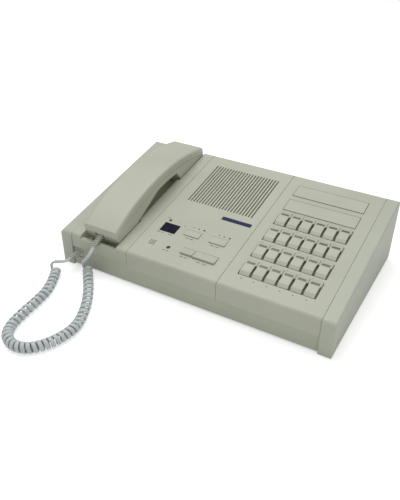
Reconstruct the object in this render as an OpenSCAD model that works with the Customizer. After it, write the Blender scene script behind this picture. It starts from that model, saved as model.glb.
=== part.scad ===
// Desk intercom: a sloping desk console with a lift-off handset in a cradle,
// a loudspeaker grille, a small display, four function buttons, twenty-four
// lamp keys with two label windows, and a curly cord between the handset and
// the console. Millimetres, +Z up, origin on the table under the console's centre.

/* [View] */
// Sub-part to draw, or all of them

/* [Console] */
// Height of the panel plane above the table at its front edge
front_h = 47; // [44:0.5:56]
// Upward slope of the panel in degrees
slope = 10.15; // [9:0.05:12]
// Depth from the skirt front to the rear wall
body_d = 222; // [220:1:236]
// Width of a side cheek
cheek_w = 16; // [12:0.5:20]
// How far the cheeks stand proud of the skirts, front and rear
cheek_proud = 1; // [0.5:0.1:2]
// Chamfer along a cheek's outer top edge
cheek_chamfer = 1.4; // [0.6:0.1:2]
// Height of a cheek's bottom edge above the table
cheek_lift = 2; // [1:0.1:3]
// Length of the small toe under a cheek's front end
toe_len = 8.5; // [5:0.5:12]
// Wall thickness of the housings, the cheeks and the tray
wall = 2.5; // [2:0.1:3]
// Rounding of the panel's front edge
front_r = 5; // [4:0.5:7]
// Rounding of the panel's rear edge
rear_r = 4; // [3.5:0.5:6]
// Gap between neighbouring housings
seam = 0.3; // [0.2:0.05:0.5]
// Clearance round the pieces that are let into the housings
fit = 0.15; // [0.1:0.05:0.3]

/* [Housings] */
// Width of the cradle housing
cradle_w = 83.8; // [82:0.2:92]
// Width of the control housing
control_w = 123.2; // [122:0.2:136]
// Width of the keypad housing
keypad_w = 125; // [122:0.5:140]
// Height of the lower edge of the control and keypad skirts
skirt_z = 23; // [21:0.5:24.5]
// Height of the lower edge of the cradle skirt
cradle_skirt_z = 27.8; // [26:0.2:29]

/* [Tray] */
// Recess of the tray behind the skirts
tray_recess = 1.2; // [0.6:0.1:1.6]
// Height of the rubber feet
foot_h = 2; // [1.5:0.1:4]
// Diameter of the rubber feet
foot_d = 14; // [10:0.5:18]
// Distance of a foot's centre from the tray's edges
foot_in = 16; // [12:1:24]

/* [Screws] */
// Shank diameter of the case screws
case_screw_d = 3; // [2.5:0.1:3.5]
// Head diameter of the case screws
case_head_d = 5.6; // [5:0.1:6.4]
// Head thickness of the case screws
case_head_t = 1.4; // [1:0.1:1.6]
// Length of the case screws
case_screw_len = 14; // [10:1:16]
// Diameter of the screw bosses
boss_d = 7; // [6.8:0.1:7.6]
// Distance of the boss centres from a housing's sides
boss_in = 8; // [7:0.5:9]
// Distance of the boss centres from the front and the rear
boss_y = 12; // [10:0.5:13]
// Shank diameter of the board screws
board_screw_d = 2; // [1.6:0.1:2.4]
// Head thickness of the board screws
board_head_t = 1.2; // [0.8:0.1:1.6]
// Diameter of the board standoffs
standoff_d = 6; // [5:0.2:6.4]

/* [Cradle] */
// Width of the cradle's left block, from the cheek to the well
block_w = 14.2; // [13:0.2:16]
// Free space between the well's left wall and the handset
well_left = 4.1; // [3:0.1:5]
// Free space between the handset and the well's right wall
well_right = 1; // [0.6:0.1:2]
// Depth of the lips at both ends of the well below the panel plane
lip_drop = 4.5; // [3:0.1:5]
// Thickness of the lips along the panel
lip_t = 5; // [4:0.2:6]
// Free space between the front lip and the handset
lip_gap_front = 3; // [2.5:0.1:4]
// Free space between the rear lip and the handset
lip_gap_rear = 1.5; // [1:0.1:3]
// Gap between the resting handset and the well's floor
rest_gap = 0.3; // [0.2:0.05:0.5]
// Distance from the front pocket's end to the grip's lower end behind it
pocket_back = 2; // [0:0.5:3]
// Distance from the grip's rear end to the rear pocket's front end
pocket_in = 3.4704; // [1:0.0001:4]
// Step between the pockets' walls and the finger trough's walls
trough_in = 6.8; // [6:0.1:7.5]
// Rounding of the finger trough's edges
trough_r = 5; // [3:0.5:5.5]

/* [Handset] */
// Width of the handset
hs_w = 49; // [46:0.5:52]
// Radius of the handset's long top arc
hs_arc = 295; // [280:1:320]
// Height of the arc's crown above the panel plane
crown_h = 33.6; // [30:0.2:36]
// Distance of the crown from the handset's front end
crown_in = 98; // [94:1:102]
// Depth of the ears' undersides below the panel plane
ear_depth = 14; // [13:0.1:15]
// Distance of the shells' parting line below the top
part_drop = 10.2; // [9.5:0.1:11]
// Thickness of the grip from the top to the underside
grip_t = 17.9; // [17.5:0.1:18.5]
// Slope of the grip's underside towards the front ear in degrees
grip_slope = 17.2; // [16:0.2:18.4]
// Radius of the underside's bend at the crown
grip_bend = 48; // [44:1:52]
// Radius of the front ear's rear face
ear_bend = 40; // [38:0.5:42]
// Distance from the handset's front end to the rear face's upper end
ear_run = 52; // [50:0.5:54]
// Setback of the front ear's foot from its parting line
front_lean = 7; // [5:0.5:10]
// Setback of the rear ear's foot from its parting line
rear_lean = 4; // [3:0.2:6]
// Length of the rear ear from the handset's rear end
rear_ear = 70; // [66:1:74]
// Length along which the rear ear's front face steps down
rear_step = 14; // [12:0.5:16]
// Wall thickness of the handset shells
shell_t = 2.2; // [1.8:0.1:2.6]
// Rounding of the handset's long top edges
hs_edge = 3.5; // [3:0.1:4.5]
// Gap between the two handset shells
shell_gap = 0.2; // [0.1:0.05:0.3]
// Diameter of the receiver capsule
receiver_d = 30; // [26:0.5:34]
// Thickness of the receiver capsule
receiver_t = 10; // [8:0.5:11]
// Distance of the receiver's centre from the handset's rear end
receiver_in = 31; // [28:0.5:34]
// Diameter of the handset's microphone capsule
hs_mic_d = 7; // [6:0.1:7.4]
// Thickness of the handset's microphone capsule
hs_mic_t = 5; // [4:0.5:6]
// Distance of the microphone's centre from the handset's front end
hs_mic_in = 25.2; // [24.8:0.1:25.6]
// Diameter of the sound holes in the ears
sound_d = 1.8; // [1.4:0.1:2]
// Diameter of the handset's screws
hs_screw_d = 2.6; // [2.2:0.1:3]
// Length of the handset's screws
hs_screw_len = 16; // [14:0.5:18]
// Head thickness of the handset's screws
hs_head_t = 1.2; // [0.8:0.1:1.4]
// Diameter of the handset's screw bosses
hs_boss_d = 6.4; // [6:0.1:7]

/* [Sockets and plugs] */
// Width of a cord socket's opening
socket_w = 14; // [13:0.5:14.5]
// Height of a cord socket's opening
socket_h = 13; // [12:0.5:13.4]
// Depth of a cord socket
socket_d = 16; // [14:0.5:18]
// Height of the cord sockets' centres above the table
socket_z = 20.2; // [19.8:0.1:20.6]
// Distance of the cord socket from the left cheek
socket_in = 0.5; // [0.3:0.1:1]
// Wall thickness of the sockets
socket_wall = 1.2; // [1:0.1:1.5]
// Width of a plug's body
plug_w = 9; // [8.4:0.1:9.4]
// Height of a plug's body
plug_h = 6.6; // [6:0.1:7]
// Length of a plug's body
plug_len = 12; // [10:0.5:13]
// Thickness of the flange that fills the console's socket opening
flange_t = 2; // [1.5:0.1:2.2]
// Gap between that flange and the socket's opening
flange_gap = 0.8; // [0.5:0.1:1]
// Length of a plug's ribbed strain relief
boot_len = 19.5; // [16:0.5:20]
// Width of the strain relief at the plug
boot_w = 8.6; // [8:0.1:9]
// Height of the strain relief at the plug
boot_h = 6; // [5.4:0.1:6.4]
// Droop of the handset's strain relief in degrees
boot_droop = 21; // [14:0.5:22]
// Distance of the handset's plug from the handset's left side
plug_in = 20.9; // [20:0.1:24]
// Depth of the handset plug's axis below the parting line
plug_drop = 4.3; // [4.2:0.1:4.8]

/* [Curly cord] */
// Width of the flat cord
cord_w = 4.2; // [3.8:0.1:4.4]
// Thickness of the flat cord
cord_t = 2.4; // [2:0.1:2.6]
// Outer diameter of the curls
curl_d = 12.7; // [12:0.1:13]
// Number of curls
curls = 47.5; // [44.5:1:48.5]
// Rise of the first curl towards the handset
first_lift = 5; // [3:0.5:7]

/* [Hook switch] */
// Diameter of the hook plunger
plunger_d = 5; // [4:0.1:6]
// Clearance round the hook plunger
plunger_gap = 0.3; // [0.25:0.05:0.4]
// Distance of the hook plunger from the handset's rear end
plunger_in = 44; // [38:1:50]
// Length of the hook plunger
plunger_len = 10; // [9:0.5:11]
// Thickness of the hook switch under the well's floor
hook_t = 9; // [9:0.5:11]

/* [Keypad] */
// Width of a lamp key's place across the row
key_pitch = 15.5; // [15.2:0.1:16]
// Distance between rows of lamp keys
row_pitch = 31.8; // [31:0.1:33]
// Distance of the first row from the panel's front edge
row_in = 24; // [23:0.5:26]
// Depth of a lamp key's housing
key_depth = 25.7; // [25:0.1:26.5]
// Width of a lamp key's housing
key_body_w = 15; // [14.4:0.1:15]
// Width of a key cap
cap_w = 12.5; // [11.5:0.1:13]
// Depth of a key cap
cap_d = 16.8; // [16:0.1:17.2]
// Height of a key cap above the panel
cap_h = 3.1; // [2.6:0.1:4]
// Height of a key's lamp block above the panel
lamp_h = 2.1; // [1.6:0.1:2.6]
// Width of a key's lamp window
lamp_w = 9.8; // [8:0.1:10.5]
// Depth of a key's lamp window
lamp_d = 4; // [3:0.1:4.6]
// Side of the square stem under a cap
stem_w = 5; // [4.4:0.1:5.4]
// Clearance round the stems and the caps
stem_gap = 0.3; // [0.25:0.05:0.4]
// Travel of a key
key_travel = 2; // [1.5:0.1:2.2]

/* [Label windows] */
// Width of the label covers
label_w = 92.7; // [90:0.1:96]
// Depth of the label covers
label_d = 21.8; // [20:0.1:23]
// Thickness of the label covers
label_t = 0.8; // [0.6:0.1:1.2]
// Thickness of the label cards
card_t = 0.4; // [0.3:0.05:0.6]
// Distance of the front label cover from the panel's front edge
label_in = 150.2; // [149.4:0.1:151]
// Distance between the two label covers
label_pitch = 31.1; // [30.6:0.1:31.6]

/* [Control panel] */
// Width of the display window
display_w = 21.6; // [20:0.1:24]
// Depth of the display window
display_d = 16; // [15:0.1:18]
// Thickness of the display window
display_t = 1.2; // [1:0.1:1.6]
// Width of the badge plate
badge_w = 40; // [36:0.5:44]
// Depth of the badge plate
badge_d = 6; // [5:0.1:7]
// Thickness of the badge plate
badge_t = 0.8; // [0.6:0.1:1.2]
// Number of grille slots
slots = 23; // [15:1:23]
// Distance between grille slots
slot_pitch = 4.15; // [4:0.01:4.2]
// Width of a grille slot
slot_w = 1.7; // [1.2:0.1:2]
// Length of the grille slots
slot_len = 84.2; // [80:0.1:86]
// Diameter of the loudspeaker
speaker_d = 78; // [72:0.5:80]
// Overall depth of the loudspeaker
speaker_t = 30; // [27:0.5:32]
// Width of the rim that the loudspeaker's basket is glued by
speaker_rim = 7; // [5:0.5:9]
// Depth of the loudspeaker's cone
speaker_cone = 14; // [11:0.5:14.5]
// Diameter of the loudspeaker's magnet
magnet_d = 36; // [30:1:44]
// Height of the loudspeaker's magnet
magnet_h = 12; // [8:0.5:12]
// Diameter of the desk microphone capsule
mic_d = 9.7; // [9:0.1:10]
// Thickness of the desk microphone capsule
mic_t = 6; // [5:0.1:8]
// Travel of the function buttons
button_travel = 1.5; // [1:0.1:1.5]

/* [Circuit boards] */
// Depth of the boards' upper faces below the panel plane
board_depth = 12; // [12:0.1:12.5]
// Thickness of the boards
board_t = 1.6; // [1.2:0.1:1.6]
// Distance of the boards' front edges from the panel's front edge
board_in = 21; // [20.5:0.1:21.5]
// Depth of the control board along the panel
control_board_d = 91; // [90:1:94]
// Depth of the keypad board along the panel
keypad_board_d = 129; // [128:1:134]
// Distance of the boards from the housings' sides
board_side = 4; // [3.5:0.1:4.5]

/* [Hidden] */
$fn = 48;
panel_len = body_d / cos(slope);
cradle_x = cheek_w;
control_x = cradle_x + cradle_w;
keypad_x = control_x + control_w;
right_x = keypad_x + keypad_w;
console_w = right_x + cheek_w;
cradle_end = control_x - seam;
control_end = keypad_x - seam;
keypad_end = right_x - seam;
floor_z = foot_h + wall;

// Places on the panel are (x, s, h): x from the left cheek's outer face,
// s up the slope from the panel's front edge and h square to the panel.
well_x = cradle_x + block_w;
hs_x = well_x + well_left;
hs_end = hs_x + hs_w;
well_end = hs_end + well_right;
well_floor = -ear_depth - rest_gap;
hs_front = lip_t + lip_gap_front;
hs_rear = panel_len - lip_t - lip_gap_rear;
hs_mid = (hs_x + hs_end) / 2;
crown_s = hs_front + crown_in;
arc_h = crown_h - hs_arc;
part_arc = hs_arc - part_drop;
grip_s = hs_rear - rear_ear;
pocket_front = hs_front + ear_run - pocket_back;
pocket_rear = grip_s + pocket_in;
ear_floor = shell_t - ear_depth;

// Height of the shells' parting arc above the panel at a place s
function part_h(s, r) = arc_h + sqrt(r * r - (s - crown_s) * (s - crown_s));

plug_x = hs_x + plug_in;
plug_axis_h = part_h(hs_front, part_arc) - plug_drop;
boot_s = hs_front + 1.5;
plunger_s = hs_rear - plunger_in;
receiver_s = hs_rear - receiver_in;
hs_mic_s = hs_front + hs_mic_in;
hs_screws = [[hs_x + 8, hs_front + 22], [hs_end - 8, hs_front + 22], [hs_mid, hs_rear - 11]];

socket_x = cradle_x + socket_in + socket_w / 2;
rear_socket_x = [control_x + 30, control_x + 52];
rear_socket_z = (floor_z + skirt_z) / 2;

// Screw places in the tray: x, y, and the housing that each one holds
cradle_boss_x = [(cradle_x + well_x) / 2, (well_end + cradle_end) / 2];
cradle_screws = [
  [cradle_boss_x[0], boss_y + 18], [cradle_boss_x[1], boss_y],
  [cradle_boss_x[0], body_d - boss_y], [cradle_boss_x[1], body_d - boss_y]
];
function corner_screws(a, b) = [
  for (x = [a + boss_in, b - boss_in], y = [boss_y, body_d - boss_y]) [x, y]
];
control_screws = corner_screws(control_x, control_end);
keypad_screws = corner_screws(keypad_x, keypad_end);
case_screw_at = concat(cradle_screws, control_screws, keypad_screws);

control_board = [control_x + board_side, control_end - board_side, board_in, board_in + control_board_d];
keypad_board = [keypad_x + board_side, keypad_end - board_side, board_in, board_in + keypad_board_d];
function board_corners(b) = [for (x = [b[0] + 4, b[1] - 4], s = [b[2] + 4, b[3] - 4]) [x, s]];

// Lamp keys
key_cols = 6;
key_rows = 4;
keys = key_cols * key_rows;
row_w = key_cols * key_pitch;
row_x = keypad_x + (keypad_w - row_w) / 2 - 1;
key_top = -wall - 0.7;
stem_low = -8;
function key_x(i) = row_x + (i % key_cols) * key_pitch;
function key_s(i) = row_in + floor(i / key_cols) * row_pitch;
lamp_s = cap_d + stem_gap;
label_x = row_x;

// Control panel: places from the control housing's left side
display_x = control_x + 15.1;
display_s = 52;
badge_x = control_x + 76.2;
badge_s = 101;
grille_x = control_x + 16.8;
grille_s = 118.5;
speaker_x = grille_x + (slots - 1) * slot_pitch / 2 + slot_w / 2;
speaker_s = grille_s + slot_len / 2;
mic_x = control_x + 19.7;
mic_s = 29;
// Function buttons: x, width, front, depth, height at the front
buttons = [
  [control_x + 47.8, 20.4, 56, 11, 1.2],
  [control_x + 82.6, 21.1, 56.4, 12.6, 1.5],
  [control_x + 61.2, 15.9, 25.2, 11.2, 2.8],
  [control_x + 77.9, 29.3, 24.6, 12.7, 2.8]
];
button_top = -7;
// Lamps in the control panel: x, s, diameter
status_lamps = [
  [control_x + 18.8, 73.2, 3.5], [control_x + 42.8, 28.7, 4.8],
  [control_x + 53.2, 73, 1.2], [control_x + 60.4, 73, 1.6], [control_x + 67.8, 73, 2.2],
  [control_x + 88.5, 73, 1.2], [control_x + 95.4, 73, 1.6], [control_x + 102.8, 73, 2.2]
];

function two_digits(i) = str(i < 10 ? "0" : "", i);
key_names = [for (i = [1 : keys]) str("station_key_", two_digits(i))];
button_names = [for (i = [1 : len(buttons)]) str("function_button_", i)];

body_c = [0.74, 0.75, 0.68];
skirt_c = [0.66, 0.67, 0.59];
dark_c = [0.12, 0.13, 0.16];
navy_c = [0.10, 0.12, 0.22];
cord_c = [0.69, 0.73, 0.74];
metal_c = [0.62, 0.62, 0.60];
board_c = [0.20, 0.36, 0.24];
card_c = [0.88, 0.88, 0.82];

// ---------- frames and common shapes ----------

module place() translate([-console_w / 2, -body_d / 2, 0]) children();

module on_panel(x = 0, s = 0, h = 0) {
  place()
    translate([0, 0, front_h])
      rotate([slope, 0, 0])
        translate([x, s, h])
          children();
}

module box(x0, x1, y0, y1, z0, z1) {
  translate([x0, y0, z0])
    cube([x1 - x0, y1 - y0, z1 - z0]);
}

// A side outline drawn in (depth, height), drawn out across the width
module across(x0, x1) {
  translate([x0, 0, 0])
    rotate([90, 0, 90])
      linear_extrude(x1 - x0)
        children();
}

// Height of a plane lying a distance under the panel, at a depth y
function panel_z(y, under) = front_h + y * tan(slope) - under / cos(slope);

function arc(c, r, a0, a1, steps) = [
  for (i = [0 : steps]) let (a = a0 + (a1 - a0) * i / steps) c + r * [cos(a), sin(a)]
];

// Side outline: front y0, rear y1, flat bottom z0, top lying under the panel plane
function side_outline(y0, y1, z0, under, rf, rr) = concat(
  [[y0, z0]],
  arc([y0 + rf, panel_z(y0 + rf, under) - rf / cos(slope)], rf, 180, 90 + slope, 8),
  arc([y1 - rr, panel_z(y1 - rr, under) - rr / cos(slope)], rr, 90 + slope, 0, 8),
  [[y1, z0]]
);

module housing_body(x0, x1, z0) {
  place()
    across(x0, x1)
      polygon(side_outline(0, body_d, z0, 0, front_r, rear_r));
}

module housing_hollow(x0, x1) {
  place()
    across(x0 + wall, x1 - wall)
      polygon(side_outline(wall, body_d - wall, -1, wall, front_r - wall, rear_r - wall));
}

// Open-bottomed housing with its screw bosses, before the panel's openings
module housing_shell(x0, x1, z0, screws) {
  difference() {
    housing_body(x0, x1, z0);
    housing_hollow(x0, x1);
  }
  intersection() {
    housing_body(x0, x1, floor_z);
    place()
      for (p = screws)
        translate([p[0], p[1], floor_z])
          cylinder(d = boss_d, h = front_h + body_d);
  }
}

module screw_bores(screws) {
  place()
    for (p = screws)
      translate([p[0], p[1], foot_h - 1])
        cylinder(d = case_screw_d + 2 * fit, h = case_screw_len + 2);
}

module standoffs(board) {
  for (c = board_corners(board))
    on_panel(c[0], c[1], -board_depth)
      cylinder(d = standoff_d, h = board_depth - wall + 0.01);
}

module standoff_bores(board) {
  for (c = board_corners(board))
    on_panel(c[0], c[1], -board_depth - 1)
      cylinder(d = board_screw_d + 2 * fit, h = 8);
}

// Upright screw: head at the bottom, standing on z = 0
module screw(shank, head, head_t, len) {
  cylinder(d = head, h = head_t);
  cylinder(d = shank, h = len);
}

// ---------- console ----------

// Tray, or with an inset its hollow; the cheeks close its two sides
module tray_block(inset, z0, z1, zc) {
  y0 = tray_recess + inset;
  y1 = body_d - tray_recess - inset;
  side = inset > 0 ? 1 : 0;
  box(cheek_w - side, right_x + side, y0, y1, z0, z1);
  box(cheek_w - side, cradle_end + side, y0, y1, z0, zc);
}

module base_tray() {
  color(skirt_c)
    difference() {
      place()
        difference() {
          tray_block(0, foot_h, skirt_z, cradle_skirt_z);
          tray_block(wall, floor_z, skirt_z + 50, cradle_skirt_z + 50);
          socket_hole(socket_x, socket_z, -1, tray_recess + wall + 2);
          for (x = rear_socket_x)
            socket_hole(x, rear_socket_z, body_d - wall - 3, wall + 4);
          for (p = case_screw_at)
            translate([p[0], p[1], foot_h - 1])
              cylinder(d = case_head_d + 2 * fit, h = case_head_t + 1 + fit);
        }
      screw_bores(case_screw_at);
    }
}

// Outline of a cord socket's opening, made smaller all round, top at -Y
module socket_outline(inset) {
  r = 3 - inset;
  w = socket_w / 2 - inset;
  h = socket_h / 2 - inset;
  translate([-w, r - h]) square([2 * w, 2 * h - r]);
  translate([r - w, -h]) square([2 * (w - r), h]);
  for (side = [-1, 1])
    translate([side * (w - r), r - h]) circle(r);
}

// Opening for a cord socket in an upright wall, with two rounded top corners
module socket_hole(x, z, y, depth) {
  translate([x, y, z])
    rotate([-90, 0, 0])
      linear_extrude(depth)
        socket_outline(0);
}

module cheek_solid(inset) {
  y0 = inset - cheek_proud;
  y1 = body_d + cheek_proud - inset;
  polygon(side_outline(y0, y1, cheek_lift + inset, inset, front_r + 1 - inset, rear_r + 1 - inset));
}

module left_cheek_shape() {
  difference() {
    union() {
      across(0, cheek_w) cheek_solid(0);
      box(0, cheek_w, -cheek_proud, toe_len, 0.3, cheek_lift + 1);
    }
    across(wall, cheek_w + 1) cheek_solid(wall);
    translate([0, 0, front_h])
      rotate([slope, 0, 0])
        rotate([0, 45, 0])
          cube([cheek_chamfer * sqrt(2), 3 * body_d, cheek_chamfer * sqrt(2)], center = true);
  }
}

module left_cheek() {
  color(body_c) place() left_cheek_shape();
}

module right_cheek() {
  color(body_c)
    place()
      difference() {
        translate([console_w, 0, 0]) mirror([1, 0, 0]) left_cheek_shape();
        box(console_w - 0.8, console_w + 1, 16.5, 17.5, 9.7, 14.3);
        box(console_w - 0.8, console_w + 1, 36, 37, cheek_lift - 1, cheek_lift + 3);
      }
}

// Trough under the grip, narrower than the pockets and with rounded edges
module finger_trough() {
  x0 = well_x + trough_in;
  x1 = well_end - trough_in;
  translate([0, pocket_rear + 1, 0])
    rotate([90, 0, 0])
      linear_extrude(pocket_rear - pocket_front + 2)
        polygon(concat(
          [[x0, well_floor], [x1, well_floor]],
          arc([x1 + trough_r, -trough_r], trough_r, 180, 90, 6),
          [[x1 + trough_r, 20], [x0 - trough_r, 20]],
          arc([x0 - trough_r, -trough_r], trough_r, 90, 0, 6)
        ));
}

module cradle_housing() {
  color(body_c)
    difference() {
      union() {
        housing_shell(cradle_x, cradle_end, cradle_skirt_z, cradle_screws);
        intersection() {
          housing_body(cradle_x, cradle_end, cradle_skirt_z);
          on_panel()
            box(well_x - wall, well_end + wall, -40, panel_len + 40, well_floor - wall, 10);
        }
      }
      on_panel() {
        box(well_x, well_end, lip_t, pocket_front, well_floor, 20);
        box(well_x, well_end, pocket_rear, panel_len - lip_t, well_floor, 20);
        finger_trough();
      }
      on_panel() {
        box(well_x, well_end, -30, lip_t + 1, -lip_drop, 20);
        box(well_x, well_end, panel_len - lip_t - 1, panel_len + 30, -lip_drop, 20);
      }
      on_panel(hs_mid, plunger_s, well_floor - wall - 1)
        cylinder(d = plunger_d + 2 * plunger_gap, h = wall + 2);
      screw_bores(cradle_screws);
    }
}

module grille_slot() {
  cut_h = 8 * wall;
  translate([slot_w / 2, slot_w / 2, 0]) cylinder(d = slot_w, h = cut_h);
  translate([slot_w / 2, slot_len - slot_w / 2, 0]) cylinder(d = slot_w, h = cut_h);
  box(0, slot_w, slot_w / 2, slot_len - slot_w / 2, 0, cut_h);
}

module control_housing() {
  color(body_c)
    difference() {
      union() {
        housing_shell(control_x, control_end, skirt_z, control_screws);
        standoffs(control_board);
      }
      for (i = [0 : slots - 1])
        on_panel(grille_x + i * slot_pitch, grille_s, -10)
          grille_slot();
      for (i = [-1 : 1])
        on_panel(mic_x + 3 * i, mic_s, -10)
          box(-0.5, 0.5, -4.5, 4.5, 0, 20);
      for (b = buttons)
        on_panel()
          box(b[0] - stem_gap, b[0] + b[1] + stem_gap, b[2] - stem_gap, b[2] + b[3] + stem_gap, -6, 9);
      for (l = status_lamps)
        on_panel(l[0], l[1], -10)
          cylinder(d = l[2] + 2 * fit, h = 20);
      on_panel(display_x, display_s)
        box(-fit, display_w + fit, -fit, display_d + fit, -display_t, 9);
      on_panel(display_x, display_s)
        box(2, display_w - 2, 2, display_d - 2, -9, 9);
      on_panel(badge_x, badge_s)
        box(-fit, badge_w + fit, -fit, badge_d + fit, -badge_t, 9);
      screw_bores(control_screws);
      standoff_bores(control_board);
    }
}

module keypad_housing() {
  color(body_c)
    difference() {
      union() {
        housing_shell(keypad_x, keypad_end, skirt_z, keypad_screws);
        standoffs(keypad_board);
      }
      for (r = [0 : key_rows - 1])
        on_panel(row_x, row_in + r * row_pitch)
          box(-fit, row_w + fit, -fit, key_depth + fit, -9, 9);
      for (k = [0, 1])
        on_panel(label_x, label_in + k * label_pitch)
          box(1, label_w - 1, 1, label_d - 1, -card_t, 9);
      screw_bores(keypad_screws);
      standoff_bores(keypad_board);
    }
}

module rubber_feet() {
  color(dark_c)
    place()
      for (x = [cheek_w + foot_in, right_x - foot_in], y = [foot_in, body_d - foot_in])
        translate([x + (x < console_w / 2 ? 14 : -14), y, 0])
          cylinder(d = foot_d, h = foot_h);
}

// Basket, cone and magnet of the loudspeaker, turned about its own axis
module loudspeaker() {
  r = speaker_d / 2;
  color(dark_c)
    on_panel(speaker_x, speaker_s, -wall)
      rotate_extrude()
        polygon([
          [r - speaker_rim, 0], [r, 0], [r, -1.5], [r - 5, -1.5],
          [magnet_d / 2, magnet_h - speaker_t], [magnet_d / 2, -speaker_t],
          [0, -speaker_t], [0, -speaker_cone], [8, -speaker_cone], [12, -speaker_cone - 1.5]
        ]);
}

// Switch body on a board with a square hole for a stem, standing on z = 0
module switch_body(w, d, top) {
  difference() {
    translate([-w / 2, -d / 2, 0]) cube([w, d, top]);
    translate([-stem_w / 2 - stem_gap, -stem_w / 2 - stem_gap, 1.4])
      cube([stem_w + 2 * stem_gap, stem_w + 2 * stem_gap, 20]);
  }
}

module board(b) {
  difference() {
    on_panel() box(b[0], b[1], b[2], b[3], -board_depth - board_t, -board_depth);
    standoff_bores(b);
    on_panel()
      for (c = board_corners(b))
        translate([c[0], c[1], -board_depth - board_t - 1])
          cylinder(d = board_screw_d + 2 * fit, h = board_t + 2);
  }
}

module circuit_boards() {
  color(board_c) {
    board(control_board);
    board(keypad_board);
    for (b = buttons)
      on_panel(b[0] + b[1] / 2, b[2] + b[3] / 2, -board_depth)
        switch_body(11, 9, board_depth + button_top);
    on_panel(display_x, display_s)
      box(0.5, display_w - 0.5, 0.5, display_d - 0.5, -board_depth, -wall);
  }
}

module display_window() {
  color(navy_c)
    on_panel(display_x, display_s)
      box(0, display_w, 0, display_d, -display_t, 0.1);
}

module badge_plate() {
  color(navy_c)
    on_panel(badge_x, badge_s)
      box(0, badge_w, 0, badge_d, -badge_t, 0.1);
}

module label_covers() {
  color(body_c)
    for (k = [0, 1])
      on_panel(label_x, label_in + k * label_pitch)
        box(0, label_w, 0, label_d, 0, label_t);
}

module label_cards() {
  color(card_c)
    for (k = [0, 1])
      on_panel(label_x, label_in + k * label_pitch)
        box(1 + fit, label_w - 1 - fit, 1 + fit, label_d - 1 - fit, -card_t, 0);
}

module indicator_lamps() {
  color(dark_c) {
    for (l = status_lamps)
      on_panel(l[0], l[1], -board_depth)
        cylinder(d = l[2], h = board_depth + (l[2] > 4 ? -0.8 : 0.2));
    for (i = [0 : keys - 1])
      on_panel(key_x(i) + key_pitch / 2, key_s(i) + lamp_s)
        box(fit - lamp_w / 2, lamp_w / 2 - fit, 0.6 + fit, lamp_d - fit, 0.6, lamp_h - 0.6);
  }
}

// One lamp key's housing: switch body, and the lamp block behind the cap
module key_housing(i) {
  side = (key_pitch - key_body_w) / 2;
  difference() {
    on_panel(key_x(i), key_s(i))
      union() {
        box(side, side + key_body_w, 0, key_depth, -board_depth, key_top);
        box(side, side + key_body_w, lamp_s, key_depth, key_top - 1, lamp_h);
      }
    on_panel(key_x(i) + key_pitch / 2, key_s(i) + lamp_s)
      box(-lamp_w / 2, lamp_w / 2, 0.6, lamp_d, 0.6, 9);
    on_panel(key_x(i) + key_pitch / 2, key_s(i) + cap_d / 2)
      box(-stem_w / 2 - stem_gap, stem_w / 2 + stem_gap,
          -stem_w / 2 - stem_gap, stem_w / 2 + stem_gap, stem_low - key_travel - 0.6, 9);
  }
}

module key_switches() {
  color(skirt_c)
    for (i = [0 : keys - 1])
      key_housing(i);
}

module microphone_capsule() {
  color(metal_c)
    on_panel(mic_x, mic_s, -wall - mic_t)
      cylinder(d = mic_d, h = mic_t);
}

// Moulded socket with a cavity for a plug, drawn along +Y from its mouth
module socket_block(w, h, depth) {
  difference() {
    translate([-w / 2, 0, -h / 2]) cube([w, depth, h]);
    translate([-plug_w / 2 - fit, -1, -plug_h / 2 - fit])
      cube([plug_w + 2 * fit, plug_len + 1 + 2 * fit, plug_h + 2 * fit]);
  }
}

// Socket behind the tray's wall, with a foot down to the tray's floor
module socket_on_foot(z) {
  h = plug_h + 2 * fit + 2 * socket_wall;
  socket_block(plug_w + 2 * fit + 2 * socket_wall, h, socket_d);
  translate([-4, 0, floor_z - z])
    cube([8, socket_d, z - floor_z - h / 2]);
}

module console_jack() {
  color(dark_c)
    place()
      translate([socket_x, tray_recess + wall, socket_z])
        socket_on_foot(socket_z);
}

module hook_switch() {
  top = well_floor - wall;
  color(dark_c)
    difference() {
      on_panel(hs_mid, plunger_s, top - hook_t)
        translate([-9, -12, 0]) cube([18, 24, hook_t]);
      on_panel(hs_mid, plunger_s, well_floor - plunger_len - 0.5)
        cylinder(d = plunger_d + 2 * plunger_gap, h = 30);
    }
}

module case_screws() {
  color(metal_c) {
    place()
      for (p = case_screw_at)
        translate([p[0], p[1], foot_h])
          screw(case_screw_d, case_head_d, case_head_t, case_screw_len);
    for (b = [control_board, keypad_board], c = board_corners(b))
      on_panel(c[0], c[1], -board_depth - board_t - board_head_t)
        screw(board_screw_d, board_screw_d + 2, board_head_t, board_head_t + board_t + 5);
  }
}

module rear_sockets() {
  color(dark_c)
    place()
      for (x = rear_socket_x)
        translate([x, body_d - tray_recess - wall, rear_socket_z])
          rotate([0, 0, 180])
            socket_on_foot(rear_socket_z);
}

// ---------- handset ----------

// Slice of the arched top shell: inset from the outer faces all round
module arch_solid(inset, low_r) {
  w = hs_w - 2 * inset;
  r = hs_edge - min(inset, hs_edge - 1);
  top = hs_arc - inset;
  on_panel(hs_x + inset, crown_s, arc_h)
    rotate([90, 0, 90])
      rotate([0, 0, 60])
        rotate_extrude(angle = 60, $fn = 96)
          translate([0, 0]) {
            translate([low_r, 0]) square([top - r - low_r, w]);
            translate([low_r, r]) square([top - low_r, w - 2 * r]);
            for (y = [r, w - r])
              translate([top - r, y]) circle(r, $fn = 32);
          }
}

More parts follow.
